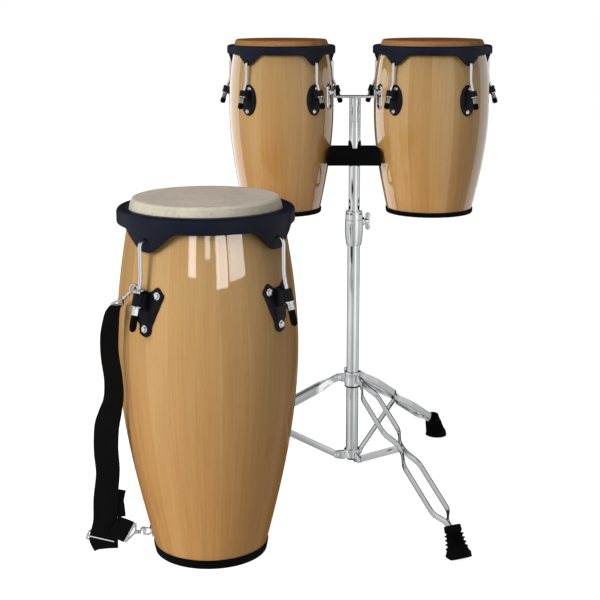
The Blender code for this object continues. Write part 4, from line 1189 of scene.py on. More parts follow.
def rivet(name, place, along, radius, half, head):
    """A riveted pin with a domed head on each side."""
    place = Vector(place)
    along = Vector(along).normalized()
    length = 2 * (half + head)
    edge = head / length
    near = [(radius * 0.5, 0), (radius * 1.35, edge * 0.35), (radius * 1.75, edge * 0.95), (radius, edge)]
    profile = near + [(r, 1 - share) for r, share in reversed(near)]
    return rod(name, place - along * (half + head), place + along * (half + head), profile, 24)


def clevis_cheek(name, frame_at, inner, outer, half_tall, reach):
    """An upright cheek with a round end, from the tube's wall out to its pivot."""
    outline = arc((PIVOT_OUT, 0), reach, -80, 80, 12)
    outline += [(0.0155, half_tall), (0.0155, -half_tall)]
    thick = outer - inner
    middle = upright(y=(inner + outer) / 2)
    return slab(name, outline, thick, frame_at @ middle, min(0.0006, thick * 0.3), 2)


def pole_about(azimuth, z):
    return about(POLE + Vector((0, 0, z)), azimuth)


def make_lower_tube():
    """Lower tube, and the hub with the cheeks that hold the braces."""
    item = tube("lower_leg_tube", LOWER_TUBE_R, *LOWER_TUBE_Z)
    dress(item, "stand_base", CHROME, ["lower_tube"])
    low, high = HUB_Z
    inside = LOWER_TUBE_R - TUBE_WALL / 2
    profile = [(inside, low)]
    profile += arc((HUB_R - 0.002, low + 0.002), 0.002, -90, 0, 4)
    profile += arc((HUB_R - 0.002, high - 0.002), 0.002, 0, 90, 4)
    profile += [(inside, high)]
    parts = [round_pole("hub", profile)]
    near = BRACE_THICK / 2 + 0.00035
    far = near + STRIP_THICK
    for azimuth in LEG_AZIMUTHS:
        place = pole_about(azimuth, HUB_PIVOT_Z)
        parts.append(clevis_cheek("cheek", place, near, far, CHEEK_HALF, CHEEK_R))
        parts.append(clevis_cheek("cheek", place, -far, -near, CHEEK_HALF, CHEEK_R))
        pivot = place @ Vector((PIVOT_OUT, 0, 0))
        parts.append(rivet("rivet", pivot, place.to_3x3() @ Vector((0, 1, 0)), PIN_R, far, 0.0018))
    hub = smooth(merged("brace_hub", *parts), 35)
    dress(hub, "stand_base", CHROME, ())
    plug_r = LOWER_TUBE_R - TUBE_WALL - GAP
    end = LOWER_TUBE_Z[0]
    profile = [(0, end + 0.004), (plug_r, end + 0.004), (plug_r, end - 0.0005)]
    profile += [(LOWER_TUBE_R - 0.0002, end - 0.0008)]
    profile += [(LOWER_TUBE_R - 0.002, end - 0.0035), (0, end - 0.0045)]
    cap = round_pole("lower_tube_cap", profile, 40, False)
    dress(smooth(cap, 40), "stand_base", PLASTIC, ())


def make_collar():
    """Sliding collar with a black band at its lower edge, the tongues for the legs and the boss for its wing
    bolt.
    """
    low, high = COLLAR_Z
    inside = LOWER_TUBE_R + 0.0007
    profile = [(inside, low + 0.003)]
    profile += [(COLLAR_R - 0.0006, low + 0.003), (COLLAR_R, low + 0.0038)]
    profile += [(COLLAR_R, high - 0.013), (COLLAR_R - 0.0007, high - 0.012), (COLLAR_R, high - 0.011)]
    profile += arc((COLLAR_R - 0.002, high - 0.002), 0.002, 0, 90, 4)
    profile += [(inside, high)]
    parts = [round_pole("collar", profile)]
    half_lug = PINCH - STRIP_THICK / 2 - GAP
    for azimuth in LEG_AZIMUTHS:
        place = pole_about(azimuth, COLLAR_PIVOT_Z)
        parts.append(clevis_cheek("tongue", place, -half_lug, half_lug, CHEEK_HALF, CHEEK_R))
        pivot = place @ Vector((PIVOT_OUT, 0, 0))
        side = place.to_3x3() @ Vector((0, 1, 0))
        parts.append(rivet("rivet", pivot, side, PIN_R, PINCH + STRIP_THICK / 2 + GAP, 0.0016))
    middle = pole_about(COLLAR_SCREW_AZIMUTH, sum(COLLAR_Z) / 2)
    boss_ends = [middle @ Vector((x, 0, 0)) for x in (LOWER_TUBE_R + 0.002, COLLAR_BOSS_END)]
    parts.append(soft_rod("boss", *boss_ends, 0.0080, 0.0010))
    item = smooth(merged("sliding_collar", *parts), 35)
    dress(item, "collar", CHROME, ["tripod_collar"])
    profile = [(inside, low), (COLLAR_R - 0.0010, low), (COLLAR_R + 0.0002, low + 0.0008)]
    profile += [(COLLAR_R + 0.0002, low + 0.0022), (COLLAR_R - 0.0008, low + 0.0028), (inside, low + 0.0028)]
    band = smooth(round_pole("collar_bushing", profile), 40)
    dress(band, "collar", PLASTIC, ())


def make_wing_bolt(which, place, tip, boss_end):
    """A wing bolt along +X of its frame: a shank, a turned hub and two rounded wings."""
    start = boss_end + GAP * 2
    shank = soft_rod("shank", (tip, 0, 0), (start + 0.003, 0, 0), SCREW_R, 0.0005, 24)
    hub_profile = [(0.0056, 0), (0.0062, 0.06), (0.0060, 0.45)]
    hub_profile += [(0.0050, 0.80), (0.0042, 0.94), (0.0030, 1.0)]
    hub = rod("hub", (start, 0, 0), (start + 0.011, 0, 0), hub_profile, 32)
    half = WING_SPAN / 2
    wing_edge = [(0.0012, 0.0030), (0.0008, half * 0.50), (0.0012, half * 0.82), (0.0034, half * 0.97)]
    wing_edge += [(0.0070, half), (0.0106, half * 0.96), (0.0130, half * 0.80), (0.0132, half * 0.60)]
    wing_edge += [(0.0116, half * 0.40), (0.0098, 0.0046), (0.0094, 0.0030)]
    upper = [(start + x, y) for x, y in wing_edge]
    outline = upper + [(x, -y) for x, y in reversed(upper)]
    wings = slab("wings", outline, 0.0034, Matrix.Rotation(math.pi / 2, 4, "X"), 0.0011, 3)
    item = merged(f"{which}_wing_screw", shank, hub, wings)
    item.matrix_world = place
    dress(smooth(item, 40), f"{which}_screw", CHROME, [f"{which}_wing_bolt"])


def make_clamp():
    """Height clamp: a bulged sleeve with a seam, a turned groove near its top and a boss for its bolt."""
    low, high = CLAMP_Z
    tube_top = LOWER_TUBE_Z[1]
    around_lower = LOWER_TUBE_R + GAP
    around_upper = UPPER_TUBE_R + 0.0005
    ring = 0.648  # height of the turned groove
    shape = [(0.78, low), (0.84, low + 0.0025), (0.90, low + 0.009), (0.95, low + 0.018)]
    shape += [(0.985, low + 0.028), (1.0, low + 0.040), (0.995, ring - 0.0045), (0.975, ring - 0.0014)]
    shape += [(0.935, ring - 0.0007), (0.935, ring + 0.0007), (0.970, ring + 0.0014), (0.955, ring + 0.008)]
    shape += [(0.925, high - 0.004), (0.895, high - 0.001), (0.86, high)]
    outer = [(CLAMP_R * share, z) for share, z in shape]
    inner = [(around_upper, high), (around_upper, tube_top + GAP)]
    inner += [(around_lower, tube_top + GAP), (around_lower, low)]
    item = round_pole("clamp", outer + inner, 64)
    start = pole_at(CLAMP_SCREW_Z, UPPER_TUBE_R + 0.003)
    end = pole_at(CLAMP_SCREW_Z, CLAMP_BOSS_END)
    boss = soft_rod("boss", start, end, 0.0090, 0.0012, 40)
    seam = block("seam", (-0.0004, -0.03, low - 0.01), (0.0004, -CLAMP_R * 0.93, high + 0.01))
    seam.matrix_world = Matrix.Translation(POLE) @ Matrix.Rotation(math.radians(-42), 4, "Z")
    cut(item, seam)
    item = smooth(merged("bulged_clamp", item, boss), 40)
    dress(item, "stand_base", CHROME, ["height_clamp"])


def make_t_bar():
    """Flat bar with a rounded edge over the pole's top, and an upright open-slotted tab at each end."""
    top = T_BAR_Z + T_BAR_THICK / 2
    bottom = T_BAR_Z - T_BAR_THICK / 2
    ends = sorted(tab_face(drum) for drum in MINIS)
    half = T_BAR_DEPTH / 2
    y = POLE.y
    parts = [block("bar", (ends[0], y - half, bottom), (ends[1], y + half, top), None, 0.0012, 3)]
    for end, inward in ((ends[0], 1), (ends[1], -1)):
        faces = sorted((end, end + inward * TAB_THICK))
        outline = [(y - half, bottom + 0.001), (y - half, TAB_TOP - 0.004), (y - half + 0.004, TAB_TOP)]
        outline += [(y - SLOT_R, TAB_TOP), (y - SLOT_R, MOUNT_BOLT_Z)]
        outline += arc((y, MOUNT_BOLT_Z), SLOT_R, 180, 360, 8)[1:-1]
        outline += [(y + SLOT_R, MOUNT_BOLT_Z), (y + SLOT_R, TAB_TOP)]
        outline += [(y + half - 0.004, TAB_TOP), (y + half, TAB_TOP - 0.004), (y + half, bottom + 0.001)]
        side_on = Matrix(((0, 0, 1, sum(faces) / 2), (1, 0, 0, 0), (0, 1, 0, 0), (0, 0, 0, 1)))
        parts.append(slab("tab", outline, TAB_THICK, side_on, 0.0004, 2))
    plug_r = UPPER_TUBE_R - TUBE_WALL - GAP
    plug = soft_rod("plug", pole_at(bottom - 0.030), pole_at(bottom + 0.001), plug_r, 0.0006)
    weld_z = UPPER_TUBE_Z[1] + 0.0002
    weld = soft_rod("weld", pole_at(weld_z), pole_at(weld_z + 0.0015), UPPER_TUBE_R - 0.001, 0.0005)
    item = smooth(merged("mount_bar", *parts, plug, weld), 40)
    dress(item, "pole", CHROME, ["t_bar"])
    item = tube("upper_pole_tube", UPPER_TUBE_R, *UPPER_TUBE_Z)
    dress(item, "pole", CHROME, ["upper_tube"])


def shell_space(drum):
    """The space of a drum's shell, as a tool to cut with."""
    levels = [drum.shell_foot + (drum.top_z - drum.shell_foot) * i / 30 for i in range(31)]
    sides = [(shell_r(drum, z) + GAP, z) for z in levels]
    profile = [(0, drum.shell_foot), *sides, (0, drum.top_z)]
    return lathe("space", profile, 120, drum_frame(drum), closed=False)


def make_rest():
    """Moulded rest: its two ends follow the drums' shells, and a thin split collar grips the pole."""
    low, high = REST_Z
    (left, right), (top_left, top_right) = REST_X
    outline = [(left, low), (right, low), (top_right, high), (top_left, high)]
    front, back = REST_Y
    turned = Matrix.Rotation(math.pi / 2, 4, "X")
    middle = POLE + Vector((0, (front + back) / 2, 0))
    item = slab("rest", outline, back - front, Matrix.Translation(middle) @ turned)
    collar_r, top_r = REST_CONE_R
    profile = [(collar_r, 0), ((collar_r + top_r) / 2, 0.5), (top_r, 0.94), (top_r - 0.0006, 1)]
    collar = rod("collar", pole_at(high - 0.001), pole_at(REST_CONE_TOP), profile, 48)
    bore_r = UPPER_TUBE_R + GAP
    bore = rod("bore", pole_at(low - 0.01), pole_at(REST_CONE_TOP + 0.01), [(bore_r, 0), (bore_r, 1)], 48)
    (low_half, notch_low), (top_half, notch_top) = (0.0060, high + 0.0004), (0.0112, REST_CONE_TOP + 0.004)
    corners = [(-low_half, notch_low), (low_half, notch_low), (top_half, notch_top), (-top_half, notch_top)]
    notch = slab("notch", corners, 0.036, facing_viewer(POLE.x, POLE.y - 0.02))
    cut(item, copy_of(bore, "bore_copy", bore.matrix_world), *(shell_space(drum) for drum in MINIS))
    bevelled(item, 0.0010, 2, 50)
    cut(collar, bore, notch)
    item = smooth(merged("drum_rest", item, collar), 40)
    dress(item, "pole", PLASTIC, ["rest_bar"])


def make_strip(points, side):
    """One bowed strip of a leg, upright on its edge, with a round end at its pivot."""
    line = filleted([(x, y, 0) for x, y in points], 0.012, 5)
    stations = [(point.x, point.y) for point in line]
    half = STRIP_WIDE / 2
    first_x, first_y = stations[0]
    ends = [(first_x + half * (1 - math.cos(a)), first_y) for a in deg(4, 18, 34, 52, 70)]
    stations = ends + [station for station in stations[1:] if station[0] > ends[-1][0] + 0.001]
    rings = []
    start_x = stations[0][0]
    for index, (x, y) in enumerate(stations):
        before = Vector(stations[max(index - 1, 0)])
        after = Vector(stations[min(index + 1, len(stations) - 1)])
        along = (after - before).normalized()
        normal = Vector((-along.y, along.x))
        tall = half
        if x - start_x < half:
            tall = math.sqrt(max(half**2 - (half - (x - start_x) - 0.00002) ** 2, 0.0000001))
        middle = Vector((x, y * side))
        through = Vector((normal.x, normal.y * side)) * STRIP_THICK / 2
        near = middle + through
        far = middle - through
        rings.append([(*near, tall), (*near, -tall), (*far, -tall), (*far, tall)])
    item = from_shape("strip", rings_to_shape(rings, cap=True))
    return bevelled(item, 0.0005, 2, 50)


def make_leg():
    """Two bowed strips riveted where they pinch, in the leg's own frame with its pivot at the origin."""
    touching = STRIP_THICK / 2 + 0.0001
    line = [(-0.009, PINCH), (0.018, PINCH), (0.050, STRIP_BOW), (0.165, STRIP_BOW), (0.198, PINCH)]
    line += [(0.224, PINCH), (0.262, STRIP_BOW), (0.400, STRIP_BOW)]
    line += [(0.424, touching), (LEG_LENGTH, touching)]
    strips = [make_strip(line, side) for side in (1, -1)]
    pin = rivet("rivet", (LEG_TO_BRACE, 0, 0), (0, 1, 0), PIN_R, PINCH + STRIP_THICK / 2 + GAP, 0.0016)
    return smooth(merged("leg", *strips, pin), 35)


def brace_end():
    """Vector from the hub pivot to the brace's pivot on the leg, as (out, up)."""
    out = LEG_TO_BRACE * math.cos(LEG_SLOPE)
    up = COLLAR_PIVOT_Z - LEG_TO_BRACE * math.sin(LEG_SLOPE) - HUB_PIVOT_Z
    return out, up


def make_brace():
    """Flat brace with round ends, in its own frame, with its hub pivot at the origin."""
    length = math.hypot(*brace_end())
    half = STRIP_WIDE / 2
    outline = arc((0, 0), half, 90, 270, 10) + arc((length, 0), half, -90, 90, 10)
    return smooth(slab("brace", outline, BRACE_THICK, upright(), 0.0006, 2), 35)


def make_foot():
    """Upright ribbed rubber boot on a leg's end, in the leg's own frame, cut flat at the floor."""
    floor = about((0, 0, COLLAR_PIVOT_Z), 0, LEG_SLOPE).inverted()
    top, low = (floor @ Vector((out, 0, up)) for out, up in (FOOT_TOP, FOOT_LOW))
    down = low - top
    length = down.length
    ribs = 4
    first = 0.014
    last = length - 0.022
    pitch = (last - first) / ribs

    def radius(run):
        return FOOT_R[0] + (FOOT_R[1] - FOOT_R[0]) * (run / length) ** 1.4

    top_r, low_r = FOOT_R
    outline = [(top_r - 0.0030, 0.0), (top_r - 0.0010, 0.0004), (top_r, 0.0016), (radius(first), first)]
    for rib in range(ribs):
        start = first + rib * pitch
        for share, proud in ((0.12, -0.0026), (0.46, -0.0026), (0.66, 0.0020), (0.86, 0.0020)):
            outline.append((radius(start) + proud, start + pitch * share))
    outline += [(radius(last) - 0.0008, last + 0.001), (low_r - 0.0022, last + 0.007)]
    outline += [(low_r + 0.0006, last + 0.0115), (low_r + 0.0002, length)]
    aim = down.to_track_quat("Z", "Y").to_matrix().to_4x4()
    profile = [(0, 0), *outline, (0, length)]
    item = lathe("foot", profile, 56, Matrix.Translation(top) @ aim, closed=False)
    cut(item, block("below_floor", (0.3, -0.1, -0.1), (0.6, 0.1, 0.0), floor))
    return smooth(item, 30)


def make_tripod():
    leg = make_leg()
    brace = make_brace()
    foot = make_foot()
    out, up = brace_end()
    brace_slope = -math.atan2(up, out)
    for number, azimuth in enumerate(LEG_AZIMUTHS, 1):
        pivot = Matrix.Rotation(azimuth, 4, "Z") @ Vector((PIVOT_OUT, 0, 0)) + POLE
        leg_place = about(pivot + Vector((0, 0, COLLAR_PIVOT_Z)), azimuth, LEG_SLOPE)
        brace_place = about(pivot + Vector((0, 0, HUB_PIVOT_Z)), azimuth, brace_slope)
        leg_body = f"tripod_leg_{number}"
        dress(copy_of(leg, f"leg_{number}_strips", leg_place), leg_body, CHROME, [f"leg_{number}"])
        dress(copy_of(foot, f"leg_{number}_boot", leg_place), leg_body, RUBBER, [f"foot_{number}"])
        bar = copy_of(brace, f"brace_{number}_bar", brace_place)
        dress(bar, f"tripod_brace_{number}", CHROME, [f"brace_{number}"])
    for source in (leg, brace, foot):
        bpy.data.objects.remove(source, do_unlink=True)


# ---------------------------------------------------------------- shoulder strap
def smooth_route(rows, steps):
    """Catmull-Rom points between the rows; each row is a vector of any length."""
    made = []
    for i in range(len(rows) - 1):
        p0 = rows[max(i - 1, 0)]
        p1, p2 = rows[i], rows[i + 1]
        p3 = rows[min(i + 2, len(rows) - 1)]
        for step in range(steps):
            t = step / steps
            point = []
            for a, b, c, d in zip(p0, p1, p2, p3):
                bend = (2 * a - 5 * b + 4 * c - d) * t**2
                point.append(0.5 * (2 * b + (c - a) * t + bend + (3 * b - a - 3 * c + d) * t**3))
            made.append(point)
    made.append(list(rows[-1]))
    return made


def band_section(wide, thick):
    """Rounded outline of the webbing's section, as (across, through) points."""
    half = wide / 2
    flat = [half * share for share in (-0.92, -0.7, -0.42, -0.14, 0.14, 0.42, 0.7, 0.92)]
    edge = thick / 2
    top = [(x, edge) for x in flat]
    right = [(half - edge * 0.3, edge * 0.7), (half, 0), (half - edge * 0.3, -edge * 0.7)]
    bottom = [(x, -edge) for x in reversed(flat)]
    left = [(-x, z) for x, z in reversed(right)]
    return top + right + bottom + left


def band(name, places, wide=WEBBING_WIDE, thick=WEBBING_THICK):
    """A webbing band through places, each (centre, across), with a UV map in metres."""
    section = band_section(wide, thick)
    rings = []
    run = [0.0]
    for index, (centre, across) in enumerate(places):
        before = places[max(index - 1, 0)][0]
        after = places[min(index + 1, len(places) - 1)][0]
        along = (after - before).normalized()
        through = along.cross(across).normalized()
        side = through.cross(along).normalized()
        rings.append([centre + side * x + through * z for x, z in section])
        if index:
            run.append(run[-1] + (centre - places[index - 1][0]).length)
    shape = bmesh.new()
    layer = shape.loops.layers.uv.new("weave")
    rows = [[shape.verts.new(point) for point in ring] for ring in rings]
    count = len(section)
    for row in range(len(rows) - 1):
        for i in range(count):
            j = (i + 1) % count
            face = shape.faces.new((rows[row][i], rows[row][j], rows[row + 1][j], rows[row + 1][i]))
            uvs = ((section[i][0], run[row]), (section[j][0], run[row]))
            uvs += ((section[j][0], run[row + 1]), (section[i][0], run[row + 1]))
            for loop, uv in zip(face.loops, uvs):
                loop[layer].uv = uv
    shape.faces.new(reversed(rows[0]))
    shape.faces.new(rows[-1])
    return from_shape(name, shape), run[-1]


def route_places():
    rows = [(*centre, math.radians(angle)) for centre, angle in STRAP_ROUTE]
    places = []
    for x, y, z, turn in smooth_route(rows, 7):
        places.append((Vector((x, y, z)), Vector((math.cos(turn), math.sin(turn), 0))))
    return places


def strap_end():
    """The strap's upper end: its centre, the way across it and the way down along it."""
    places = route_places()
    (centre, across), (after, _) = places[0], places[1]
    along = (after - centre).normalized()
    through = along.cross(across).normalized()
    return centre, through.cross(along).normalized(), along


def side_run_frame():
    """Frame at the end of the side run: X on towards the lower clip, Y up along the end's edge."""
    along = Vector((math.cos(SIDE_RUN_LEAN), 0, -math.sin(SIDE_RUN_LEAN)))
    edge = Vector((math.sin(SIDE_RUN_LEAN), 0, math.cos(SIDE_RUN_LEAN)))
    turned = Matrix((along, edge, along.cross(edge))).transposed().to_4x4()
    return Matrix.Translation(SIDE_RUN_MIDDLE) @ turned


def fold_shift(height):
    """How far the webbing is pulled sideways where it folds under the slider."""
    share = (FOLD_TOP - height) / FOLD_TALL
    return Vector((FOLD_SHIFT * min(max(share, 0), 1), 0, 0))


def make_strap():
    """The webbing: the long run, the loop under the slider, and the side run that goes to the lower clip."""
    places = [(centre + fold_shift(centre.z), across) for centre, across in route_places()]
    low, low_across = places[-1]
    down = Vector((0, 0, -1))
    behind = Vector((0, 1, 0))
    loop_r = 0.0045
    loop = []
    for a in deg(30, 60, 90, 120, 150, 180):
        centre = low + down * loop_r * math.sin(a) + behind * loop_r * (1 - math.cos(a))
        loop.append((centre, low_across))
    rise = [(low + behind * (2 * loop_r + 0.001) - down * d, low_across) for d in (0.010, 0.022, 0.034)]
    long_run, length = band("long", places + loop + rise)
    end = side_run_frame()
    edge = end.to_3x3() @ Vector((0, 1, 0))
    stations = []
    lifts = ((-0.036, 0.0045), (-0.030, 0.0042), (-0.022, 0.0028), (-0.012, 0.0008), (-0.004, 0), (0, 0))
    for along, lift in lifts:
        stations.append((end @ Vector((along, 0, lift)), edge))
    side_run, side_length = band("side", stations, WEBBING_WIDE, WEBBING_THICK * 1.5)
    flap_rows = ((0.1545, -0.1868, -0.50), (0.1420, -0.1895, -0.30), (0.1300, -0.1918, -0.10))
    flap_rows += ((0.1180, -0.1905, 0.0), (0.1060, -0.1895, 0.0), (0.0950, -0.1892, 0.0))
    flap_places = []
    for z, x, slope in flap_rows:
        flap_places.append((Vector((x, FLAP_Y, z)), Vector((1, 0.05, slope)).normalized()))
    flap, _ = band("flap", flap_places, FLAP_WIDE)
    item = merged("webbing_strap", long_run, side_run, flap)
    on_drum(item, CONGA, 50, WEBBING, ["shoulder_strap"])
    stitches = make_stitches(places)


def make_stitches(places):
    """A stitched cross box under the upper end's fold, as raised thread."""
    first = 3  # stations of the route between which the box is sewn
    last = 8
    half = WEBBING_WIDE / 2 - 0.006
    lift = WEBBING_THICK / 2 + 0.0001

    def at(index, across):
        centre, side = places[index]
        along = (places[index + 1][0] - centre).normalized()
        through = along.cross(side).normalized()
        return centre + through.cross(along).normalized() * across - through * lift

    lines = [[at(first, -half), at(first, half)], [at(last, -half), at(last, half)]]
    for side in (-1, 1):
        lines.append([at(index, side * half) for index in range(first, last + 1)])
    steps = last - first
    lines.append([at(first + i, -half + 2 * half * i / steps) for i in range(steps + 1)])
    lines.append([at(first + i, half - 2 * half * i / steps) for i in range(steps + 1)])
    threads = [sweep("thread", line, 0.00045, 8) for line in lines]
    return on_drum(merged("strap_stitching", *threads), CONGA, 60, PLASTIC, ())


def strap_metal(name, parts, angle, nodes):
    """Joins the parts of a chrome fitting, which are in the large conga's own frame."""
    on_drum(merged(name, *parts), CONGA, angle, CHROME, nodes)


def ring_points(centre, across, up, half_wide, half_tall, count=32):
    points = []
    for step in range(count):
        turn = math.tau * step / count
        points.append(centre + across * (half_wide * math.cos(turn)) + up * (half_tall * math.sin(turn)))
    return points


def rounded_loop(centre, across, up, half_wide, half_tall, corner):
    """Points round a rounded rectangle."""
    points = []
    for sign_x, sign_y, start in ((1, 1, 0), (-1, 1, 90), (-1, -1, 180), (1, -1, 270)):
        middle = (sign_x * (half_wide - corner), sign_y * (half_tall - corner))
        points += [centre + across * x + up * y for x, y in arc(middle, corner, start, start + 90, 6)]
    return points


def make_slider():
    """Rectangular wire slider with a middle bar, round the webbing."""
    rows = [Vector(centre) for centre, _ in STRAP_ROUTE[-3:]]
    angle = math.radians(STRAP_ROUTE[-2][1])
    along = (rows[2] - rows[0]).normalized()
    across = Vector((math.cos(angle), math.sin(angle), 0))
    through = along.cross(across).normalized()
    across = through.cross(along).normalized()
    level, upright_edge = across, along
    across = level * math.cos(SLIDER_TILT) + upright_edge * math.sin(SLIDER_TILT)
    along = upright_edge * math.cos(SLIDER_TILT) - level * math.sin(SLIDER_TILT)
    front = rows[1] - through * 0.0036
    radius = 0.0020
    half_wide = WEBBING_WIDE / 2 + 0.0033
    parts = [sweep("frame", rounded_loop(front, across, along, half_wide, 0.0098, 0.0035), radius, 14, True)]
    bar_at = rows[1] + through * 0.0024
    parts.append(sweep("bar", [bar_at - across * half_wide, bar_at + across * half_wide], radius * 0.9, 14))
    for side in (-1, 1):
        end = across * side * half_wide
        parts.append(sweep("link", filleted([front + end, bar_at + end], 0.001, 2), radius, 12))
    strap_metal("strap_adjuster", parts, 60, ["strap_slider"])


def snap_hook(name, start, end, node, loop_half, loop_across):
    """A swivel snap hook from a point it hooks on to a loop for the webbing."""
    along = (end - start).normalized()
    reach = (end - start).length
    side = Vector((0, 0, 1))
    side = (side - along * side.dot(along)).normalized()
    hook_long = 0.0105
    hook_wide = 0.0085
    hook = []
    for a in deg(*range(-60, 211, 15)):
        hook.append(start - along * (hook_long * math.cos(a)) + side * (hook_wide * math.sin(a)))
    radii = [0.0017 + 0.0004 * math.sin(math.pi * i / (len(hook) - 1)) for i in range(len(hook))]
    parts = [sweep("hook", hook, radii, 12)]
    gate_start = start + along * 0.0095 + side * 0.0040
    gate_end = start - along * 0.0050 + side * 0.0080
    parts.append(sweep("gate", [gate_start, gate_end], 0.0012, 10))
    neck = start + along * hook_long
    swivel = start + along * min(reach * 0.62, reach - 0.006)
    length = (swivel - neck).length
    profile = [(0.0020, 0), (0.0034, 0.12), (0.0036, 0.35), (0.0024, 0.50), (0.0024, 0.62), (0.0042, 0.72)]
    profile += [(0.0044, 0.90), (0.0028, 1.0)]
    parts.append(rod("swivel", neck, neck + along * length, profile, 24))
    loop_side = loop_across.normalized() * loop_half
    loop_top = swivel.lerp(end, -0.1)
    outline = filleted([loop_top, end - loop_side, end + loop_side, loop_top], 0.006, 6)
    parts.append(sweep("loop", outline, 0.0019, 12))
    strap_metal(name, parts, 60, [node])


def make_clips():
    """The snap hook at each end of the strap, the ring round the lug's rod, and the eye low on the shell."""
    rod_place, _ = rod_at(CONGA, CONGA.sleeve[0] + 0.007)
    turn = Matrix.Rotation(outward(CONGA.lug_azimuths[0]), 4, "Z")
    centre = turn @ rod_place
    loop, loop_across, along = strap_end()
    loop = loop - along * 0.0025
    level = Vector((loop.x - centre.x, loop.y - centre.y, 0)).normalized()
    side = level.cross(Vector((0, 0, 1)))
    ring = sweep("ring", ring_points(centre, level, side, 0.0105, 0.0085), 0.0017, 12, True)
    strap_metal("rod_ring", [ring], 60, ())
    start = centre + level * 0.0140
    snap_hook("top_snap_hook", start, loop, "strap_top_clip", 0.0255, loop_across)

    frame_on = about((0, 0, EYE_Z), outward(EYE_AZIMUTH))
    radius = shell_r(CONGA, EYE_Z)
    out = frame_on.to_3x3() @ Vector((1, 0, 0))
    wall = frame_on @ Vector((radius, 0, 0))
    lean = shell_lean(CONGA, EYE_Z)
    tilt = Matrix.Rotation(math.atan(lean), 4, "Y")
    pad_frame = frame_on @ Matrix.Translation((radius, 0, 0)) @ tilt
    pad = block("pad", (0.0002, -0.010, -0.010), (0.0026, 0.010, 0.010), pad_frame, 0.0009, 3)
    eye_centre = wall + out * 0.010
    eye = sweep("eye", ring_points(eye_centre, out, Vector((0, 0, 1)), 0.0088, 0.0075), 0.0017, 14, True)
    screws = []
    for across in (-0.0068, 0.0068):
        place = pad_frame @ Vector((0.0026, across, 0))
        screws.append(dome_bolt("screw", place, pad_frame.to_3x3() @ Vector((1, 0, 0)), 0.0020, 0.0012))
    strap_metal("strap_eye_plate", [pad, eye, *screws], 40, ["strap_eye"])

    end = side_run_frame()
    middle = end @ Vector((0.0027, 0, 0))
    edge = end.to_3x3() @ Vector((0, 1, 0))
    start = wall + out * 0.0195
    snap_hook("lower_snap_hook", start, middle, "strap_bottom_clip", 0.0250, edge)


# ---------------------------------------------------------------- camera, light and floor
# The studio in reflections, as (place, brightness). Round the horizon, 0.5 is where the camera is, and 0
# and 1 are behind the drums; upwards, 0 is straight down and 1 is straight up.
AROUND = (
    (0.00, 0.02),
    (0.100, 0.04),
    (0.142, 0.52),
    (0.24, 0.62),
    (0.34, 0.90),
    (0.42, 0.52),
    (0.50, 0.40),
    (0.54, 0.60),
    (0.575, 1.00),
    (0.625, 1.00),
    (0.67, 0.50),
    (0.78, 0.62),
    (0.85, 0.48),
    (0.895, 0.04),
    (1.00, 0.02),
)
UPWARDS = ((0.0, 0.70), (0.30, 0.85), (0.42, 1.0), (0.70, 1.0), (0.84, 0.90), (0.90, 0.10), (1.0, 0.04))
FLOOR_GLOW = 0.89
GLOSSY_WORLD = 1.05
DIFFUSE_WORLD = 0.25


WINDOW_FAR = 3.2
CAMERA_FROM_CONGA = Vector((0.189, -2.6, 1.147))
CAMERA_LENS = 78.45  # millimetres, for a 36 mm sensor
CAMERA_DOWN = 0.2297  # radians below the horizon


def make_camera():
    """The camera stands in front of the large conga, a little to its right, and looks slightly down."""
    data = bpy.data.cameras.new("camera")
    data.sensor_width = 36.0
    data.lens = CAMERA_LENS
    data.clip_start = 0.05
    data.clip_end = 400.0
    camera = add("camera", data)
    camera.location = CONGA.place + CAMERA_FROM_CONGA
    camera.rotation_euler = (math.pi / 2 - CAMERA_DOWN, 0, 0)
    bpy.context.scene.camera = camera


def soft_light(name, place, target, wide, tall, power):
    data = bpy.data.lights.new(name, "AREA")
    data.shape = "RECTANGLE"
    data.size = wide
    data.size_y = tall
    data.energy = power
    item = add(name, data)
    item.location = place
    item.rotation_euler = (Vector(target) - Vector(place)).to_track_quat("-Z", "Y").to_euler()
    return item


def lit_only(light, name, pieces):
    """Limits a light to some of the pieces."""
    group = bpy.data.collections.new(name)
    for piece in pieces:
        group.objects.link(piece)
    light.light_linking.receiver_collection = group
    return light


def window_light(name, azimuths, lifts, radiance):
    """A bright panel that only shows as a reflection in the large conga's lacquer, behind the camera.
    azimuths are seen from the drum, from -Y towards +X; lifts are heights over the floor."""
    ahead = Vector((0, -WINDOW_FAR, 0))
    left, right = (CONGA.place + Matrix.Rotation(a, 3, "Z") @ ahead for a in deg(*azimuths))
    middle = (left + right) / 2
    middle.z = sum(lifts) / 2
    wide = (right - left).length
    tall = lifts[1] - lifts[0]
    target = CONGA.place.copy()
    target.z = middle.z
    item = soft_light(name, middle, target, wide, tall, radiance * math.pi * wide * tall)
    item.visible_diffuse = False
    return item


def make_floor():
    """A pale floor that stays almost white outside the soft shadows."""
    shape = bmesh.new()
    bmesh.ops.create_grid(shape, x_segments=1, y_segments=1, size=150.0)
    floor = from_shape("floor", shape)
    paint = Paint("pale_floor", Roughness=0.9, Specular_IOR_Level=0.0, Emission_Strength=FLOOR_GLOW)
    paint.shader.inputs["Emission Color"].default_value = (1.0, 1.0, 1.0, 1.0)
    paint.colour(rgb((0.50, 0.50, 0.50)))
    floor.data.materials.append(paint.material)
    floor.visible_diffuse = False
    floor.visible_glossy = False


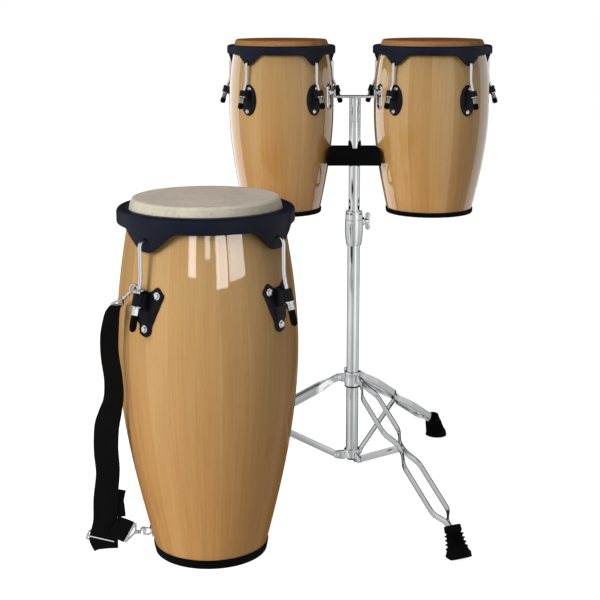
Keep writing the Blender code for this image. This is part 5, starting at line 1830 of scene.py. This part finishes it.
def make_world():
    """White for the camera, a studio of bright and dark bands in reflections, and a soft ambient light."""
    world = bpy.data.worlds.new("studio")
    world.use_nodes = True
    nodes = world.node_tree.nodes
    links = world.node_tree.links

    def reckon(operation, *values):
        made = nodes.new("ShaderNodeMath")
        made.operation = operation
        for socket, value in zip(made.inputs, values):
            if isinstance(value, bpy.types.NodeSocket):
                links.new(value, socket)
            else:
                socket.default_value = value
        return made.outputs[0]

    towards = nodes.new("ShaderNodeSeparateXYZ")
    links.new(nodes.new("ShaderNodeTexCoord").outputs["Generated"], towards.inputs[0])
    x, y, z = (towards.outputs[axis] for axis in "XYZ")
    turn = reckon("ARCTAN2", x, reckon("MULTIPLY", y, -1.0))
    shares = []
    for value, stops in (
        (reckon("ADD", reckon("DIVIDE", turn, math.tau), 0.5), AROUND),
        (reckon("MULTIPLY_ADD", z, 0.5, 0.5), UPWARDS),
    ):
        band = nodes.new("ShaderNodeValToRGB")
        while len(band.color_ramp.elements) < len(stops):
            band.color_ramp.elements.new(0.5)
        for element, (position, shade) in zip(band.color_ramp.elements, stops):
            element.position = position
            element.color = (shade, shade, shade, 1.0)
        links.new(value, band.inputs["Fac"])
        shares.append(band.outputs["Color"])
    mirrored = reckon("MULTIPLY", reckon("MULTIPLY", *shares), GLOSSY_WORLD)
    path = nodes.new("ShaderNodeLightPath").outputs
    total = reckon("MULTIPLY_ADD", path["Is Glossy Ray"], mirrored, path["Is Camera Ray"])
    total = reckon("MULTIPLY_ADD", path["Is Diffuse Ray"], DIFFUSE_WORLD, total)
    back = nodes["Background"]
    back.inputs["Color"].default_value = (1.0, 1.0, 1.0, 1.0)
    links.new(total, back.inputs["Strength"])
    world.cycles.sampling_method = "NONE"
    bpy.context.scene.world = world


def make_stage(conga_lacquer, mini_lacquer):
    make_floor()
    make_world()
    target = (0.0, -0.1, 0.6)
    key = soft_light("key", (-2.3, -2.55, 2.0), target, 1.2, 1.8, 84)
    top = soft_light("top", (0.0, -0.6, 4.2), target, 2.4, 2.4, 42)
    fill = soft_light("fill", (1.8, -3.4, 1.2), target, 1.6, 1.6, 5)
    for light in (key, top, fill):
        light.visible_glossy = False
    panes = [
        ("left_pane", (-20, -10), (0.86, 1.60), 28),
        ("middle_pane", (2, 9), (1.08, 1.60), 22),
        ("right_pane", (16, 31), (0.73, 1.60), 28),
        ("far_pane", (33, 55), (0.78, 1.60), 24),
    ]
    for name, azimuths, lifts, radiance in panes:
        lit_only(window_light(name, azimuths, lifts, radiance), f"{name}_receivers", conga_lacquer)
    wall_wide = 1.3
    wall_tall = 2.0
    for name, x, radiance in (("left_wall", -1.0, 2.1), ("right_wall", 1.2, 1.0)):
        power = radiance * math.pi * wall_wide * wall_tall
        wall = soft_light(name, (x, 0.95, 0.85), (0.1, 0.1, 0.85), wall_wide, wall_tall, power)
        wall.visible_diffuse = False
        wall.visible_camera = False
        lit_only(wall, f"{name}_receivers", mini_lacquer)
    bpy.context.scene.view_settings.view_transform = "Standard"


# ---------------------------------------------------------------- the whole set
make_camera()
CONGA_SHELL = make_shell(CONGA)
make_head(CONGA, NATURAL_SKIN)
MINI_SHELLS = []
for mini_drum in MINIS:
    MINI_SHELLS.append(make_shell(mini_drum))
    make_head(mini_drum, BROWN_SKIN)
    make_mount(mini_drum)
    make_knob(mini_drum)
for any_drum in (CONGA, *MINIS):
    make_rim(any_drum)
    make_base_ring(any_drum)
    make_lugs(any_drum)
make_lower_tube()
make_collar()
make_clamp()
make_t_bar()
make_rest()
make_tripod()
HEIGHT_SCREW_PLACE = about(pole_at(CLAMP_SCREW_Z), 0)
COLLAR_SCREW_PLACE = pole_about(COLLAR_SCREW_AZIMUTH, sum(COLLAR_Z) / 2)
make_wing_bolt("height", HEIGHT_SCREW_PLACE, UPPER_TUBE_R + GAP, CLAMP_BOSS_END)
make_wing_bolt("collar", COLLAR_SCREW_PLACE, LOWER_TUBE_R + GAP, COLLAR_BOSS_END)
make_slider()
make_clips()
make_strap()
for shell in (CONGA_SHELL, *MINI_SHELLS):
    shell.visible_glossy = False  # keeps brown out of the chrome
make_stage([CONGA_SHELL], MINI_SHELLS)
